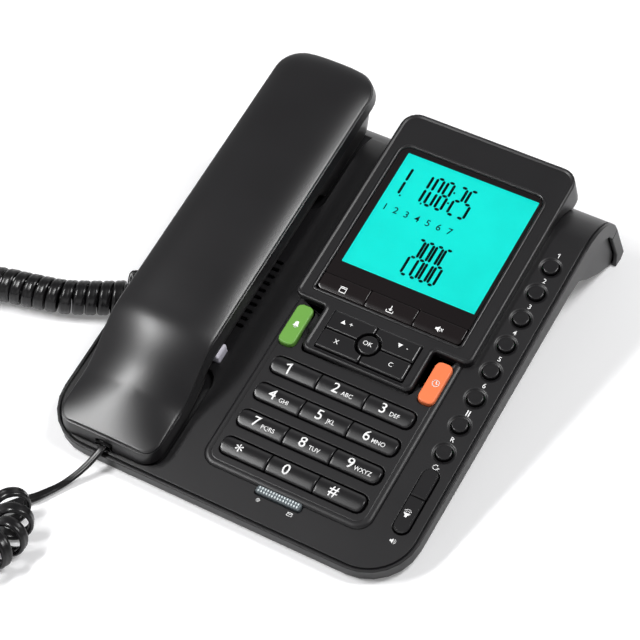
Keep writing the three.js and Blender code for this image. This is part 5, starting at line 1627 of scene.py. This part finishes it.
# Text and symbol on each navigation key, and their place
NAVIGATION_PRINT = {
    "up": ("+", "up", 11.6, 100), "down": ("-", "down", 39.2, 100), "out": ("X", None, 11.6, 89.9),
    "delete": ("C", None, 38.2, 89.9), "centre": ("OK", None, 24.4, 94.8),
}
# Symbols on flat keys and on the deck: place, size and turn
KEY_SYMBOLS = {
    "green_key": ("bell", -9.2, 91.3, 1.7, 0), "orange_key": ("clock", 59.4, 90.9, 1.7, 0),
    "oval_key_lower": ("speaker", 76.6, 31.8, 1.7, 90),
}
DECK_SYMBOLS = (
    ("pause", 77.5, 85.3, 1.15), ("again", 76.9, 56.6, 1.2), ("speaker", 76.6, 18.8, 1.2),
    ("dot", 17, 10.8, 0.85), ("envelope", 32.3, 10.7, 1.1),
)
# Text beside a round key: how far from its middle
MARK_PLACE = (0.6, 7)
R_PLACE = (0.3, 7)


def symbol(kind, u, v, size, turn=0):
    """A symbol's outlines at (u, v)."""
    spin = Matrix.Rotation(math.radians(turn), 2)
    return [[Vector((u, v)) + spin @ Vector(p) * size for p in line] for line in SYMBOLS[kind]]


class TELEPHONE_OT_print(bpy.types.Operator):
    """Prints the digits, letters and symbols on the keys and the deck"""

    bl_idname = "telephone.print"
    bl_label = "Print"

    def execute(self, context):
        sizes = context.scene.telephone_keys
        self.thick = sizes.ink / MM
        letter = sizes.letter / MM
        for label in ("star", "0", "hash", *"123456789"):
            self.dial_key(label, sizes.digit / MM, letter)
        for side, kind in (("left", "page"), ("middle", "store"), ("right", "silent")):
            node = f"soft_key_{side}"
            low, high = span(node, SOFT_FOOT)
            marks = symbol(kind, (low.x + high.x) / 2, low.y + 3.4, 1.6)
            self.on_key(node, [], marks, soft_top(low, high))
        for way, (text, kind, u, v) in NAVIGATION_PRINT.items():
            high = span(f"nav_key_{way}")[1]
            marks = symbol(kind, u - 1.8, v, 1.15) if kind else []
            place = u + 1.9 if kind else u
            self.on_key(f"nav_key_{way}", [(text, place, v, letter * 1.4)], marks,
                        lambda p: high.z - FASCIA_SLOPE * (high.y - p.y))
        for node, place in KEY_SYMBOLS.items():
            top = span(node)[1].z
            self.on_key(node, [], symbol(*place), lambda p: top)
        self.deck_marks(sizes.mark / MM)
        return {"FINISHED"}

    def on_key(self, node, texts, outlines, top):
        printed(f"print_{node}", node, texts, outlines, top, "pad-printed ink", self.thick,
                curved=True)

    def dial_key(self, label, digit, letter):
        node = f"dial_key_{label}"
        low, high = span(node, PLATEAU)
        u, v = low.x + DIGIT_PLACE[0], low.y + DIGIT_PLACE[1]
        texts, outlines = [(label, u, v, digit * FONT_SHARE)], []
        if label == "star":
            texts = [("*", u, v - digit * 0.22, digit * STAR_SHARE)]
        if label == "hash":
            texts = [("#", u, v, digit * FONT_SHARE)]
        if label == "1":
            texts, outlines = [], symbol("one", u, v, digit / 2.1)
        if label in LETTERS:
            text = LETTERS[label]
            # A longer text starts at the same place as a text of three letters
            place = low.x + LETTERS_PLACE[0] + 0.4 * (len(text) - 3)
            texts.append((text, place, low.y + LETTERS_PLACE[1], letter * FONT_SHARE))
        self.on_key(node, texts, outlines, dial_top(low, high))

    def deck_marks(self, mark):
        """The signs beside the round keys, the lens and the slots."""
        texts = []
        for i in (2, 3, 4, 5, 6, 8):
            u, v = centre_of(f"round_key_{i}", ROUND_FOOT)
            text, shift = ("R", R_PLACE) if i == 8 else (str(i), MARK_PLACE)
            texts.append((text, u + shift[0], v + shift[1], mark * 1.3))
        u, v = centre_of("round_key_1", ROUND_FOOT)
        marks = symbol("one", u + MARK_PLACE[0], v + MARK_PLACE[1], 1.2)
        for place in DECK_SYMBOLS:
            marks += symbol(*place)
        printed("print_deck", "base", texts, marks, lambda p: 0.0, "pad-printed ink", self.thick)


STEPS = (
    TELEPHONE_OT_stage, TELEPHONE_OT_cord, TELEPHONE_OT_handset, TELEPHONE_OT_housing,
    TELEPHONE_OT_display, TELEPHONE_OT_keys, TELEPHONE_OT_print,
)
GROUPS = {
    "telephone_cord": CordSizes, "telephone_shells": ShellSizes, "telephone_keys": KeySizes,
    "telephone_colours": FinishColours,
}


class TELEPHONE_PT_panel(bpy.types.Panel):
    """Sizes, colours and steps of the telephone"""

    bl_idname = "TELEPHONE_PT_panel"
    bl_label = "Telephone"
    bl_space_type = "VIEW_3D"
    bl_region_type = "UI"
    bl_category = "Telephone"

    def draw(self, context):
        for group, kind in GROUPS.items():
            box = self.layout.box()
            for name in kind.__annotations__:
                box.prop(getattr(context.scene, group), name)
        for step in STEPS:
            self.layout.operator(step.bl_idname)


def register():
    for kind in (*GROUPS.values(), *STEPS, TELEPHONE_PT_panel):
        bpy.utils.register_class(kind)
    for name, kind in GROUPS.items():
        setattr(bpy.types.Scene, name, bpy.props.PointerProperty(type=kind))


def unregister():
    for name in GROUPS:
        delattr(bpy.types.Scene, name)
    for kind in reversed((*GROUPS.values(), *STEPS, TELEPHONE_PT_panel)):
        bpy.utils.unregister_class(kind)


def main():
    register()
    for step in STEPS:
        group, name = step.bl_idname.split(".")
        getattr(getattr(bpy.ops, group), name)()


if __name__ == "__main__":
    main()
